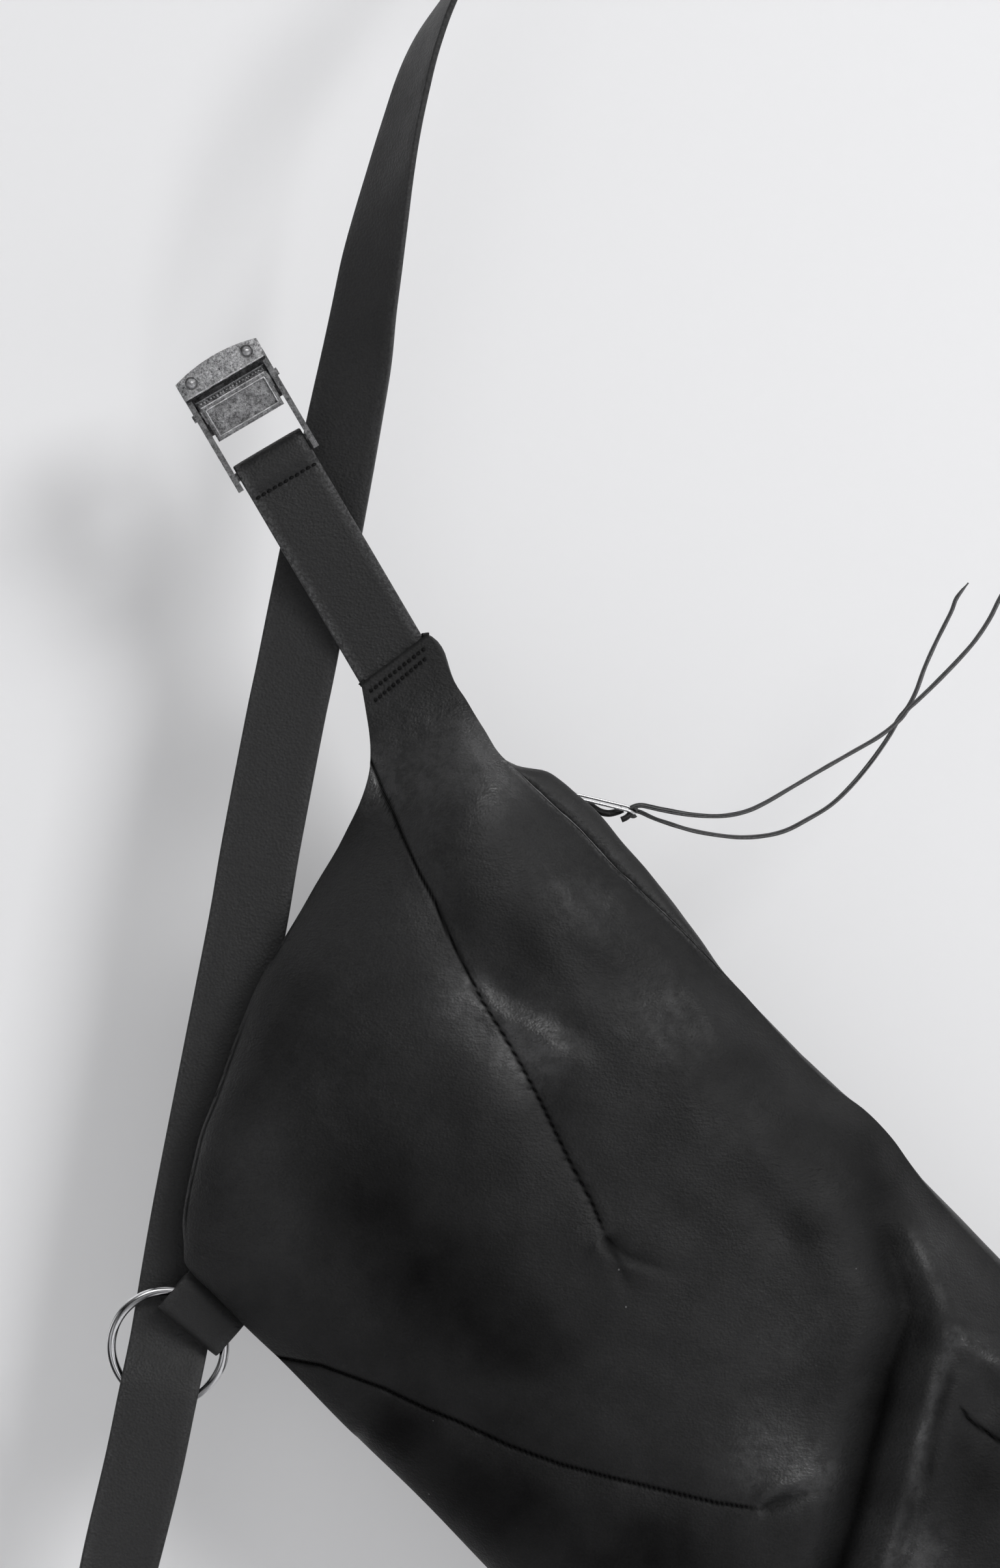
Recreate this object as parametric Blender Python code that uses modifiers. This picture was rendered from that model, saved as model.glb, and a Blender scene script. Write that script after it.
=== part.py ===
"""Soft leather sling bag: domed front panel, flat back panel, zip along the top
edge with a laced puller, a short strap with a cam buckle at the neck, and a
long strap that runs from the far end through an O-ring and over the shoulder.

Frame: metres, +Z up, the bag's front faces -Y, and y = 0 is the flat outer face
of the back panel. Sizes below are in mm. The bag's own long axis falls to the
right (+X): "along" runs down it from the neck, "across" runs from the zip edge
down to the lower left seam, and y is always world depth.
"""

import math

import bmesh
import bpy
from mathutils import Matrix, Vector

MM = 0.001
DEPTH = Vector((0, 1, 0))
FRONT = Vector((0, -1, 0))

# ------------------------------------------------------------ bag shape, mm
TILT_DEG = 45.9            # slope of the bag's long axis below horizontal
LEATHER = 1.6              # front panel leather
BACK_LEATHER = 1.4
LINING = 0.5
FRONT_RIM_Y = -13.5        # front panel's outer face at the side and lower seams
BACK_RIM_Y = -6.8          # back panel's outer face at the same seams
TOP_RIM_DROP = 16.5        # how much further forward the front rim stands along the zip
TOP_RIM_REACH = 60.0       # distance from the top seam over which that fades
TOP_RIM_EASE = 40.0        # distance from the lower seam over which it builds up
DOME = 45.0                # how far the front panel domes out beyond its rim
DOME_RUN = 95.0            # distance from the lower seam over which the dome rises
DOME_RUN_TOP = 70.0        # the same from the top seam
DOME_RUN_NECK = 95.0       # the same from the neck
BACK_RUN = 60.0            # distance from the seam over which the back goes flat

NECK_END, FAR_END = -288, 240             # ends of the outline, along
FAR_END_TOP = -30                         # top of the far end's edge, across
SEAM_STEP = 3                             # spacing of the points that sample the seam
PANEL_START, PANEL_END = -286.5, 239.0    # ends of the panels, along
PANEL_GRID = (25, 11)                     # faces along and across
ROW_EVEN, ROW_CROWD = 0.62, 0.38          # even spacing, and crowding at the neck
COLUMN_TRIM = 0.12                        # share of the cosine spacing cut off each side

# (along, across) of the side and lower seam
LOWER_SEAM = [
    (-288, -90), (-280, -84), (-269, -76), (-261, -67), (-255, -55), (-250, -40),
    (-246, -25), (-239.5, -1), (-228, 32), (-214, 61), (-202, 84), (-188, 103),
    (-177, 112.5), (-160, 113.4), (-125, 112.4), (-50, 111), (30, 111), (70, 110),
    (105, 105), (140, 93), (175, 71), (205, 41), (228, 12), (240, -1),
]
# (along, across) of the top seam
TOP_SEAM = [
    (-288, -120), (-280, -122.5), (-271, -119), (-257, -115), (-243, -112),
    (-212, -110.5), (-156, -112), (-100, -113), (-53, -112.5), (-25, -115),
    (0, -112), (42, -111), (130, -111.5), (162, -107), (192, -92), (217, -66),
    (232, -44), (240, -31),
]

# ------------------------------------------------------------------ zip, mm
ZIP_ACROSS = -111.0                       # tape plane
ZIP_Y = -11.5                             # centre line of the teeth
TAPE_START, TAPE_END = -216.0, 150.0      # along
TEETH_START, TEETH_END = -211.0, 146.0
SLIDER_ALONG = -203.7                     # slider at rest, zip closed
PIVOT_ACROSS = ZIP_ACROSS - 6.6           # puller's inner bar, under the bridge
PULLER_DEG = 32.5                         # how far the puller stands off the zip
PULLER_LENGTH, PULLER_HALF_WIDTH = 26.6, 3.7
PULLER_CORNER, PULLER_WIRE = 1.2, 0.75    # radii

# -------------------------------------------------- neck strap and buckle, mm
NECK_STRAP_WIDTH = 30.4
NECK_STRAP_THICK = 2.4
NECK_Y = -10.0
NECK = Vector((-125.0 * MM, 0, 279.9 * MM))    # middle of the neck's seam, depth 0
RAIL_START = 84.4                         # rail ends, up from the neck
BUCKLE_WIDTH, BUCKLE_LENGTH = 35.8, 47.7
RAIL_THICK = 2.2
HALF = BUCKLE_WIDTH / 2                   # outer faces of the rails
INNER = HALF - RAIL_THICK                 # inner faces of the rails
PIN_RADIUS, BAR_RADIUS = 1.5, 1.8
HOLE_GAP = 0.3                            # clearance round the pin and bar in the frame
LEVER_GAP = 0.25                          # clearance round the pin in the lever
CUT_REACH = 25                            # half length of a cutter across the buckle
BAR_UP, PIN_UP = 5.4, 32.9                # distances from the rail ends
BAR_Y = -15.0
PIN_Y = BAR_Y - 1.0
RAIL_FRONT, RAIL_BACK = BAR_Y - 6.4, BAR_Y + 5.6
RIVET_X, RIVET_UP = 12.2, 45.2

# -------------------------------------------------- O-ring and long strap, mm
RING_RADIUS = 21.8                        # to the wire's centre
RING_WIRE = 1.8
RING_TILT_DEG = 9.5
RING_CENTRE = Vector((-210.6 * MM, -6.7 * MM, 15.8 * MM))
TAB_WIDTH, TAB_THICK = 29.6, 1.2
TAB_FOLD = Vector((-203.4 * MM, 0, 21.6 * MM))    # middle of the fold line, depth 0
STRAP_WIDTH, STRAP_THICK = 30.5, 2.6
STRAP_Y = -2.6                            # depth of the upper strap where it lies flat


# ------------------------------------------------------------------ materials
def material(name, *, colour, roughness, metallic):
    made = bpy.data.materials.new(name)
    made.use_nodes = True
    shader = made.node_tree.nodes["Principled BSDF"]
    shader.inputs["Base Color"].default_value = (*colour, 1)
    shader.inputs["Roughness"].default_value = roughness
    shader.inputs["Metallic"].default_value = metallic
    return made


def leather(name):
    return material(name, colour=(0.022, 0.022, 0.023), roughness=0.5, metallic=0)


def cloth(name, *, shade, roughness):
    return material(name, colour=(shade, shade, shade), roughness=roughness, metallic=0)


def steel(name, roughness=0.25):
    return material(name, colour=(0.6, 0.6, 0.6), roughness=roughness, metallic=1)


# --------------------------------------------------------- curves and frames
def curve_value(table, x):
    """Smooth interpolation of a table of (x, value)."""
    if x <= table[0][0]:
        return table[0][1]
    if x >= table[-1][0]:
        return table[-1][1]
    i = next(k for k in range(len(table) - 1) if x <= table[k + 1][0])
    x0, y0 = table[i]
    x1, y1 = table[i + 1]
    before = table[max(i - 1, 0)]
    after = table[min(i + 2, len(table) - 1)]
    step = x1 - x0
    slope0 = (y1 - before[1]) / (x1 - before[0]) * step
    slope1 = (after[1] - y0) / (after[0] - x0) * step
    part = (x - x0) / step
    return ((2 * part**3 - 3 * part**2 + 1) * y0 + (part**3 - 2 * part**2 + part) * slope0
            + (3 * part**2 - 2 * part**3) * y1 + (part**3 - part**2) * slope1)


def smooth(x):
    x = max(0.0, min(1.0, x))
    return x * x * (3 - 2 * x)


def through(points, count):
    """count places in metres, evenly spread by parameter on a curve through points in mm."""
    knots = [Vector(point) * MM for point in points]
    last = len(knots) - 1
    found = []
    for k in range(count):
        place = k / (count - 1) * last
        i = min(int(place), last - 1)
        part = place - i
        p0, p1, p2, p3 = [knots[max(0, min(last, j))] for j in (i - 1, i, i + 1, i + 2)]
        found.append(0.5 * (2 * p1 + (p2 - p0) * part
                            + (2 * p0 - 5 * p1 + 4 * p2 - p3) * part * part
                            + (3 * p1 - p0 - 3 * p2 + p3) * part**3))
    return found


def arc(start_deg, end_deg, steps):
    """(cosine, sine) at evenly spaced angles, both ends included."""
    angles = [math.radians(start_deg + (end_deg - start_deg) * k / steps)
              for k in range(steps + 1)]
    return [(math.cos(angle), math.sin(angle)) for angle in angles]


def chord(centres, i):
    """From the neighbour before centres[i] to the one after it."""
    return centres[min(i + 1, len(centres) - 1)] - centres[max(i - 1, 0)]


def quarter_turn(direction):
    """An upright-plane direction turned a quarter clockwise, seen from the front."""
    return Vector((direction.z, 0, -direction.x))


def depth_frame(first, second, origin):
    """Local frame with two upright axes, then world depth as the third."""
    return Matrix(((first.x, second.x, 0, origin.x),
                   (0, 0, 1, 0),
                   (first.z, second.z, 0, origin.z),
                   (0, 0, 0, 1)))


COS, SIN = math.cos(math.radians(TILT_DEG)), math.sin(math.radians(TILT_DEG))
BAG_FRAME = depth_frame(Vector((COS, 0, -SIN)), Vector((-SIN, 0, -COS)), Vector((0, 0, 0)))

UPWARD = Vector((-0.507, 0, 0.862)).normalized()    # up the neck strap
SIDEWAYS = quarter_turn(UPWARD)                     # to the right across it
BUCKLE_FRAME = depth_frame(SIDEWAYS, UPWARD, NECK + UPWARD * RAIL_START * MM)


def bag_point(along, across, y):
    return Vector(((COS * along - SIN * across) * MM, y * MM,
                   (-SIN * along - COS * across) * MM))


def buckle_point(x, up, y):
    """x across the buckle, and up from its rail ends."""
    return NECK + SIDEWAYS * (x * MM) + UPWARD * ((RAIL_START + up) * MM) + DEPTH * (y * MM)


# ------------------------------------------------------------- mesh and modifiers
for old in list(bpy.data.objects):
    bpy.data.objects.remove(old)

bag = bpy.data.collections.new("sling_bag")
cutters = bpy.data.collections.new("cutters")     # hidden boolean operands
bpy.context.scene.collection.children.link(bag)
bpy.context.scene.collection.children.link(cutters)


def finish(bm, name, mat, smooth_angle=None, collection=bag):
    mesh = bpy.data.meshes.new(name)
    bm.to_mesh(mesh)
    bm.free()
    ob = bpy.data.objects.new(name, mesh)
    collection.objects.link(ob)
    mesh.materials.append(mat)
    if smooth_angle:
        mesh.shade_smooth()
        mesh.set_sharp_from_angle(angle=math.radians(smooth_angle))
    if collection is cutters:
        ob.hide_render = True
        ob.display_type = "WIRE"
    return ob


def solidify(ob, thickness, offset):
    mod = ob.modifiers.new("thickness", "SOLIDIFY")
    mod.thickness = thickness * MM
    mod.offset = offset
    mod.use_even_offset = False


def boolean(ob, prefix, operation, other):
    mod = ob.modifiers.new(prefix + other.name, "BOOLEAN")
    mod.operation = operation
    mod.object = other


def cut(ob, cutter):
    boolean(ob, "cut_", "DIFFERENCE", cutter)


def join(ob, other):
    boolean(ob, "join_", "UNION", other)


def sheet(name, mat, grid, place, thickness, flip=False, offset=-1):
    """A thickened grid; place(row, column) takes two shares from 0 to 1."""
    bm = bmesh.new()
    bmesh.ops.create_grid(bm, x_segments=grid[0], y_segments=grid[1], size=1.0)
    for v in bm.verts:
        v.co = place((v.co.x + 1) / 2, (v.co.y + 1) / 2)
    if flip:
        bmesh.ops.reverse_faces(bm, faces=bm.faces)
    ob = finish(bm, name, mat, 40)
    solidify(ob, thickness, offset)
    return ob


def ribbon(name, mat, centres, sides, width, thickness):
    """A flat strap along centres; sides are unit vectors across its width."""
    last = len(centres) - 1
    bm = bmesh.new()
    bmesh.ops.create_grid(bm, x_segments=last, y_segments=1, size=1.0)
    for v in bm.verts:
        i = round((v.co.x + 1) / 2 * last)
        half = 0.5 if v.co.y > 0 else -0.5
        v.co = Vector(centres[i]) + sides[i] * (half * width * MM)
    ob = finish(bm, name, mat, 40)
    solidify(ob, thickness, 0)


def block(name, mat, frame, low, high, bevel=0.0, collection=bag):
    """A box between two corners given in a local frame, in mm."""
    bm = bmesh.new()
    bmesh.ops.create_cube(bm, size=1.0)
    for v in bm.verts:
        v.co = Vector([(low[i] + high[i]) / 2 + v.co[i] * (high[i] - low[i])
                       for i in range(3)]) * MM
    # a mirrored frame would turn the faces inside out
    if frame.determinant() < 0:
        bmesh.ops.reverse_faces(bm, faces=bm.faces)
    bmesh.ops.transform(bm, matrix=frame, verts=bm.verts)
    ob = finish(bm, name, mat, collection=collection)
    if bevel:
        mod = ob.modifiers.new("edges", "BEVEL")
        mod.width = bevel * MM
        mod.segments = 1
        mod.limit_method = "ANGLE"
        mod.angle_limit = math.radians(50)
    return ob


def rod(name, mat, start, end, radius, sides=20, collection=bag):
    """A round bar between two points in metres."""
    bm = bmesh.new()
    axis = end - start
    bmesh.ops.create_cone(bm, cap_ends=True, segments=sides, radius1=radius * MM,
                          radius2=radius * MM, depth=axis.length)
    turn = Vector((0, 0, 1)).rotation_difference(axis).to_matrix().to_4x4()
    bmesh.ops.transform(bm, matrix=Matrix.Translation((start + end) / 2) @ turn, verts=bm.verts)
    return finish(bm, name, mat, 30, collection)


def wire(name, mat, points, radius, closed=False, resolution=2):
    """A round wire through points, kept as straight short segments."""
    data = bpy.data.curves.new(name, "CURVE")
    data.dimensions = "3D"
    spline = data.splines.new("POLY")
    spline.points.add(len(points) - 1)
    for spline_point, co in zip(spline.points, points):
        spline_point.co = (*co, 1)
    spline.use_cyclic_u = closed
    data.bevel_depth = radius * MM
    data.bevel_resolution = resolution
    data.use_fill_caps = not closed
    data.materials.append(mat)
    bag.objects.link(bpy.data.objects.new(name, data))


# ---------------------------------------------------------- panels and lining
def top_seam(along):
    return curve_value(TOP_SEAM, along)


def lower_seam(along):
    return curve_value(LOWER_SEAM, along)


# points along the lower seam, then up the far end
SEAM_POINTS = [(along, lower_seam(along)) for along in range(NECK_END, FAR_END + 1, SEAM_STEP)]
SEAM_POINTS += [(FAR_END, across) for across in range(FAR_END_TOP, 0, SEAM_STEP)]


def from_seam(along, across):
    """Distance to the side and lower seams, which leaves out the zip edge."""
    return min(math.hypot(along - p, across - q) for p, q in SEAM_POINTS)


def zip_window(along):
    """1 along the zip, falling to 0 at the neck and at the far end."""
    return smooth((along + 266) / 42) * (1 - smooth((along - 140) / 75))


def quarter_round(share):
    """Rises from 0 to 1 like a quarter circle, then stays at 1."""
    return math.sqrt(1 - (1 - min(share, 1)) ** 2)


def front_y(along, across):
    low = from_seam(along, across)
    top = max(0.0, across - top_seam(along))
    forward = zip_window(along) * math.exp(-(top / TOP_RIM_REACH) ** 2)
    forward *= smooth(low / TOP_RIM_EASE)
    rise = quarter_round(low / DOME_RUN) * quarter_round(top / DOME_RUN_TOP)
    rise *= smooth((along - NECK_END) / DOME_RUN_NECK)
    return FRONT_RIM_Y - TOP_RIM_DROP * forward - DOME * rise


def back_y(along, across):
    return BACK_RIM_Y * (1 - smooth(from_seam(along, across) / BACK_RUN))


def panel_place(depth_at, inset=0.0, neck_inset=0.0, far_inset=0.0):
    """Placing function of a panel whose depth is depth_at(along, across)."""
    length = PANEL_END - PANEL_START - neck_inset - far_inset

    def place(row, column):
        # rows are closer together at the neck, where the outline turns quickly
        along = PANEL_START + neck_inset + length * (ROW_EVEN * row + ROW_CROWD * row * row)
        low, high = top_seam(along) + inset, lower_seam(along) - inset
        angle = math.pi * (COLUMN_TRIM + (1 - 2 * COLUMN_TRIM) * column)
        share = 0.5 - 0.5 * math.cos(angle) / math.cos(math.pi * COLUMN_TRIM)
        across = low + (high - low) * share
        return bag_point(along, across, depth_at(along, across))

    return place


def build_panels():
    sheet("front_panel", leather("front_leather"), PANEL_GRID, panel_place(front_y),
          LEATHER, flip=True)
    sheet("back_panel", leather("back_leather"), PANEL_GRID, panel_place(back_y), BACK_LEATHER)


def build_lining():
    """Cloth hung inside each panel, short of the seams."""
    front_gap, back_gap = 3.4, 1.6
    ends = {"neck_inset": 50, "far_inset": 30}
    sheet("lining_front", cloth("lining_cloth_front", shade=0.03, roughness=0.9), PANEL_GRID,
          panel_place(lambda along, across: front_y(along, across) + LEATHER + front_gap,
                      inset=14.0, **ends),
          LINING, flip=True)
    sheet("lining_back", cloth("lining_cloth_back", shade=0.03, roughness=0.9), PANEL_GRID,
          panel_place(lambda along, across: back_y(along, across) - BACK_LEATHER - back_gap,
                      inset=10.0, **ends),
          LINING)


# ------------------------------------------------------------------ zip opening
FACING_START = -222                       # along; it ends with the tape
FACING_THICK = 1.2
FACING_TUCK = 3.2                         # how far it starts behind the front rim
FACING_END_Y = -21.4
FACING_LIFT = 0.6                         # its edge's distance inside the rim
# (along, how far the facing bulges out of the opening)
FACING_BULGE = [
    (-224, 1.5), (-218, 4), (-208, 7.8), (-194, 9), (-174, 7.9),
    (-150, 6), (-128, 2.8), (-112, 0.6), (150, 0.6),
]


def facing_place(row, column):
    """From the front panel's rim, rolling out and back to the tape."""
    along = FACING_START + (TAPE_END - FACING_START) * row
    bulge = curve_value(FACING_BULGE, along) + 0.5
    rim = top_seam(along)
    start_y = FRONT_RIM_Y - TOP_RIM_DROP * zip_window(along) + FACING_TUCK
    y = start_y + (FACING_END_Y - start_y) * column
    base = rim + FACING_LIFT + (ZIP_ACROSS - FACING_LIFT - rim) * column
    return bag_point(along, base - bulge * math.sin(math.pi * column) ** 0.8, y)


def zip_block(name, mat, along, across, y, **options):
    """A box on the zip; across and y are (low, high) from the tape plane and teeth line."""
    return block(name, mat, BAG_FRAME,
                 (along[0], ZIP_ACROSS + across[0], ZIP_Y + y[0]),
                 (along[1], ZIP_ACROSS + across[1], ZIP_Y + y[1]), **options)


def build_zip():
    sheet("zip_facing", leather("facing_leather"), (34, 6), facing_place, FACING_THICK)

    tape = cloth("tape_weave", shade=0.02, roughness=0.85)
    tape_along, tape_across = (TAPE_START, TAPE_END), (-0.3, 0.3)
    zip_block("zip_tape_front", tape, tape_along, tape_across, (-8.8, -0.3))
    zip_block("zip_tape_back", tape.copy(), tape_along, tape_across, (0.3, 8.2))

    teeth = steel("teeth_metal", roughness=0.35)
    teeth_along, teeth_across = (TEETH_START, TEETH_END), (-2.5, -0.6)
    zip_block("zip_teeth_front", teeth, teeth_along, teeth_across, (-1.9, -0.2))
    zip_block("zip_teeth_back", teeth.copy(), teeth_along, teeth_across, (0.2, 1.9))

    zip_block("zip_top_stop", steel("stop_metal"), (TEETH_START - 3.0, TEETH_START - 0.3),
              (-2.7, -0.6), (-2.1, 2.1), bevel=0.3)
    zip_block("zip_bottom_stop", steel("stop_metal_lower"), (TEETH_END + 0.3, TEETH_END + 3.4),
              (-2.9, -0.6), (-2.3, 2.3), bevel=0.3)


def build_slider():
    """A saddle over the teeth, with an arched bridge that holds the puller."""
    metal = steel("slider_metal", roughness=0.3)
    slider = zip_block("zip_slider_body", metal, (SLIDER_ALONG - 4.6, SLIDER_ALONG + 4.6),
                       (-4.6, -0.7), (-3.6, 3.6))
    cut(slider, zip_block("slider_channel", metal, (SLIDER_ALONG - 6, SLIDER_ALONG + 6),
                          (-3.1, 1), (-2.5, 2.5), collection=cutters))

    half_span, rise = 3.2, 1.9
    foot, spring_line = ZIP_ACROSS - 5.2, ZIP_ACROSS - 6.4
    arch = [(SLIDER_ALONG - half_span, foot)]
    arch += [(SLIDER_ALONG - half_span * cos, spring_line - rise * sin)
             for cos, sin in arc(0, 180, 8)]
    arch.append((SLIDER_ALONG + half_span, foot))
    ribbon("zip_slider_bridge", steel("bridge_metal", roughness=0.3),
           [bag_point(along, across, ZIP_Y) for along, across in arch],
           [DEPTH] * len(arch), width=2.4, thickness=0.7)


# ------------------------------------------------------------- puller and lace
PULLER_ANGLE = math.radians(TILT_DEG - PULLER_DEG)    # below horizontal
PULLER_DIR = Vector((math.cos(PULLER_ANGLE), 0, -math.sin(PULLER_ANGLE)))
PIVOT = bag_point(SLIDER_ALONG, PIVOT_ACROSS, ZIP_Y)
LACE_PIVOT = PIVOT + PULLER_DIR * (PULLER_LENGTH * MM)


def build_puller():
    """A narrow rounded wire frame whose inner bar runs under the bridge."""
    points = []
    near, far = PULLER_CORNER, PULLER_LENGTH - PULLER_CORNER
    for reach, side, start_deg in ((near, 1, 180), (far, 1, 90), (far, -1, 0), (near, -1, -90)):
        centre = (PIVOT + PULLER_DIR * (reach * MM)
                  + DEPTH * (side * (PULLER_HALF_WIDTH - PULLER_CORNER) * MM))
        points += [centre + PULLER_DIR * (cos * PULLER_CORNER * MM)
                   + DEPTH * (sin * PULLER_CORNER * MM)
                   for cos, sin in arc(start_deg, start_deg - 90, 3)]
    wire("zip_puller", steel("puller_metal", roughness=0.12), points, PULLER_WIRE, closed=True)


# (x, z) of the two tails from the knot to their free ends
TAIL_A = [
    (-25.6, 221.7), (-20.5, 221.6), (-9.5, 220.1), (1.5, 219.6), (10.5, 221.1),
    (18.3, 224.4), (29.3, 230.8), (40.5, 237.4), (51.5, 243.7), (62.5, 250.1),
    (74, 261.0), (84, 270.2), (93, 279.3), (100, 287.5), (109, 303.5), (117, 318),
]
TAIL_B = [
    (-25.6, 218.9), (-20.5, 217.4), (-9.5, 214.4), (1.5, 212.1), (10.5, 211.4),
    (19.3, 212.1), (27, 214.1), (34.8, 218.1), (43.8, 223.6), (51.5, 230.8),
    (59.3, 240.1), (66, 249.6), (77, 267.8), (80.3, 276.9), (84.8, 286.8),
    (92.6, 303.4), (97, 309.5),
]
TAIL_SAMPLES = 34
TAIL_TURN_DEG = 60                        # largest turn about the tail's own line
TAIL_START_OFF, TAIL_END_OFF = 2.4, 3.6   # depth away from the teeth line


def lace_tail(name, mat, outline, side):
    """One flat tail; side is -1 in front of the teeth line and 1 behind it."""
    last = len(outline) - 1
    spread = TAIL_END_OFF - TAIL_START_OFF
    centres = through([(x, ZIP_Y + side * (TAIL_START_OFF + spread * i / last), z)
                       for i, (x, z) in enumerate(outline)], TAIL_SAMPLES)
    sides = []
    for i in range(TAIL_SAMPLES):
        turn = math.radians(TAIL_TURN_DEG * math.sin(3.0 * i / TAIL_SAMPLES))
        flat = chord(centres, i).normalized().cross(DEPTH).normalized()
        sides.append((DEPTH * math.cos(turn) + flat * math.sin(turn)).normalized())
    ribbon(name, mat, centres, sides, width=2.6, thickness=1.0)


def build_lace():
    """A knot on the puller's end bar and two flat tails."""
    mat = leather("lace_leather")
    knot_radius = 2.1
    upward = PULLER_DIR.cross(DEPTH)
    centre = LACE_PIVOT - PULLER_DIR * (0.2 * MM)
    loop = [centre + PULLER_DIR * (cos * knot_radius * MM) + upward * (sin * knot_radius * MM)
            for cos, sin in arc(40, 320, 10)]
    ribbon("lace_knot", mat, loop, [DEPTH] * len(loop), width=4.2, thickness=1.1)
    lace_tail("lace_tail_a", mat.copy(), TAIL_A, -1)
    lace_tail("lace_tail_b", mat.copy(), TAIL_B, 1)


# -------------------------------------------------------------- neck strap, buckle
def build_neck_strap():
    """From the neck up in front of the buckle's bar, round it and back behind."""
    fold = NECK_STRAP_THICK / 2 + BAR_RADIUS + 0.35
    # (up from the rail ends, depth)
    profile = [
        (-77.8, NECK_Y), (-72, NECK_Y - 0.3), (-62, NECK_Y - 1.2), (-45, NECK_Y - 3.2),
        (-28, NECK_Y - 5.2), (-14, NECK_Y - 7.0),
        (-6, BAR_Y - fold + 0.6), (0, BAR_Y - fold + 0.1),
    ]
    profile += [(BAR_UP + fold * cos, BAR_Y + fold * sin) for cos, sin in arc(-90, 90, 8)]
    profile += [(1.5, BAR_Y + fold - 0.5), (-2.0, BAR_Y + 1.6), (-5.4, BAR_Y + 0.4),
                (-9.0, BAR_Y + 0.2)]
    ribbon("neck_strap", leather("neck_strap_leather"),
           [buckle_point(0, up, y) for up, y in profile], [SIDEWAYS] * len(profile),
           NECK_STRAP_WIDTH, NECK_STRAP_THICK)

    sewn = [buckle_point(0, up, NECK_Y) for up in (-92.5, -86.0, -79.6)]
    ribbon("neck_strap_sewn_end", leather("neck_end_leather"), sewn, [SIDEWAYS] * len(sewn),
           29.0, NECK_STRAP_THICK)


def cross_rod(name, mat, left, right, up, y, radius, **options):
    """A round bar running across the buckle."""
    return rod(name, mat, buckle_point(left, up, y), buckle_point(right, up, y), radius, **options)


def build_cam_frame(metal):
    """Two rails joined by a plate at the back and a wall at the top."""
    frame = block("cam_frame", metal, BUCKLE_FRAME,
                  (-HALF, 0, RAIL_FRONT), (-INNER, BUCKLE_LENGTH, RAIL_BACK))
    # joined pieces stop short of the rails' outer faces so that none coincide
    end, back = HALF - 0.5, RAIL_BACK - 0.1
    parts = [
        ("rail_right", (INNER, 0, RAIL_FRONT), (HALF, BUCKLE_LENGTH, RAIL_BACK)),
        ("cross_plate", (-end, 24, RAIL_BACK - 1.2), (end, 40, back)),
        ("top_wall", (-end, BUCKLE_LENGTH - 2.3, RAIL_FRONT + 2.0),
         (end, BUCKLE_LENGTH - 0.1, back)),
    ]
    for name, low, high in parts:
        join(frame, block(name, metal, BUCKLE_FRAME, low, high, collection=cutters))
    for name, up, y, radius in (("pin_hole", PIN_UP, PIN_Y, PIN_RADIUS),
                                ("bar_hole", BAR_UP, BAR_Y, BAR_RADIUS)):
        cut(frame, cross_rod(name, metal, -CUT_REACH, CUT_REACH, up, y, radius + HOLE_GAP,
                             collection=cutters))


def build_pin_and_bar():
    pin_end = HALF + 0.9
    cross_rod("cam_pivot_pin", steel("pin_metal"), -pin_end, pin_end, PIN_UP, PIN_Y, PIN_RADIUS)
    cross_rod("cam_strap_bar", steel("bar_metal"), -HALF, HALF, BAR_UP, BAR_Y, BAR_RADIUS)


def bridge_place(row, column):
    lower_edge = 40.2
    crown = 1 - (2 * row - 1) ** 2
    return buckle_point((row - 0.5) * 2 * HALF,
                        lower_edge + (BUCKLE_LENGTH - lower_edge + 2.6 * crown) * column,
                        RAIL_FRONT - 0.3 - 0.7 * crown)


# (radius, height towards the front) of a rivet, from the head's centre round to the shank
RIVET_PROFILE = [
    (0, 2.9), (0.8, 2.8), (1.6, 2.35), (2.0, 1.75), (1.0, 1.7), (1.0, -1.4), (0, -1.4),
]


def build_rivet(name, x):
    bm = bmesh.new()
    verts = [bm.verts.new((radius * MM, 0, z * MM)) for radius, z in RIVET_PROFILE]
    for one, two in zip(verts, verts[1:]):
        bm.edges.new((one, two))
    rivet = finish(bm, name, steel(name + "_metal"))
    turn = Vector((0, 0, 1)).rotation_difference(FRONT).to_matrix().to_4x4()
    place = Matrix.Translation(buckle_point(x, RIVET_UP, RAIL_FRONT - 0.35))
    rivet.matrix_world = place @ turn
    spin = rivet.modifiers.new("turn", "SCREW")
    spin.steps = spin.render_steps = 14
    spin.use_merge_vertices = True
    spin.merge_threshold = 0.00001


def build_cam_bridge(metal):
    """An arched plate across the front of the frame, fixed by two rivets."""
    bridge = sheet("cam_bridge", metal.copy(), (12, 2), bridge_place, 1.1, offset=1)
    for name, x in (("cam_rivet_left", -RIVET_X), ("cam_rivet_right", RIVET_X)):
        cut(bridge, rod("rivet_hole_" + name, metal, buckle_point(x, RIVET_UP, RAIL_FRONT - 4),
                        buckle_point(x, RIVET_UP, RAIL_FRONT + 1.5), 1.3,
                        sides=16, collection=cutters))
        build_rivet(name, x)


def build_cam_lever(metal):
    """A drum round the pin, a plate in front, and an ear beyond a gap for the spring."""
    drum_radius, side_gap, plate_gap = 5.0, 0.65, 0.45
    lever = cross_rod("cam_lever", metal, -INNER + side_gap, 9.2, PIN_UP, PIN_Y, drum_radius,
                      sides=24)
    join(lever, block("lever_plate", metal, BUCKLE_FRAME,
                      (-INNER + plate_gap, 20.6, PIN_Y - 5.25),
                      (INNER - plate_gap, 33.4, PIN_Y - 3.1), collection=cutters))
    join(lever, cross_rod("lever_ear", metal, INNER - 2.2, INNER - side_gap, PIN_UP, PIN_Y,
                          drum_radius, sides=24, collection=cutters))
    cut(lever, cross_rod("lever_hole", metal, -CUT_REACH, CUT_REACH, PIN_UP, PIN_Y,
                         PIN_RADIUS + LEVER_GAP, collection=cutters))


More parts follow.
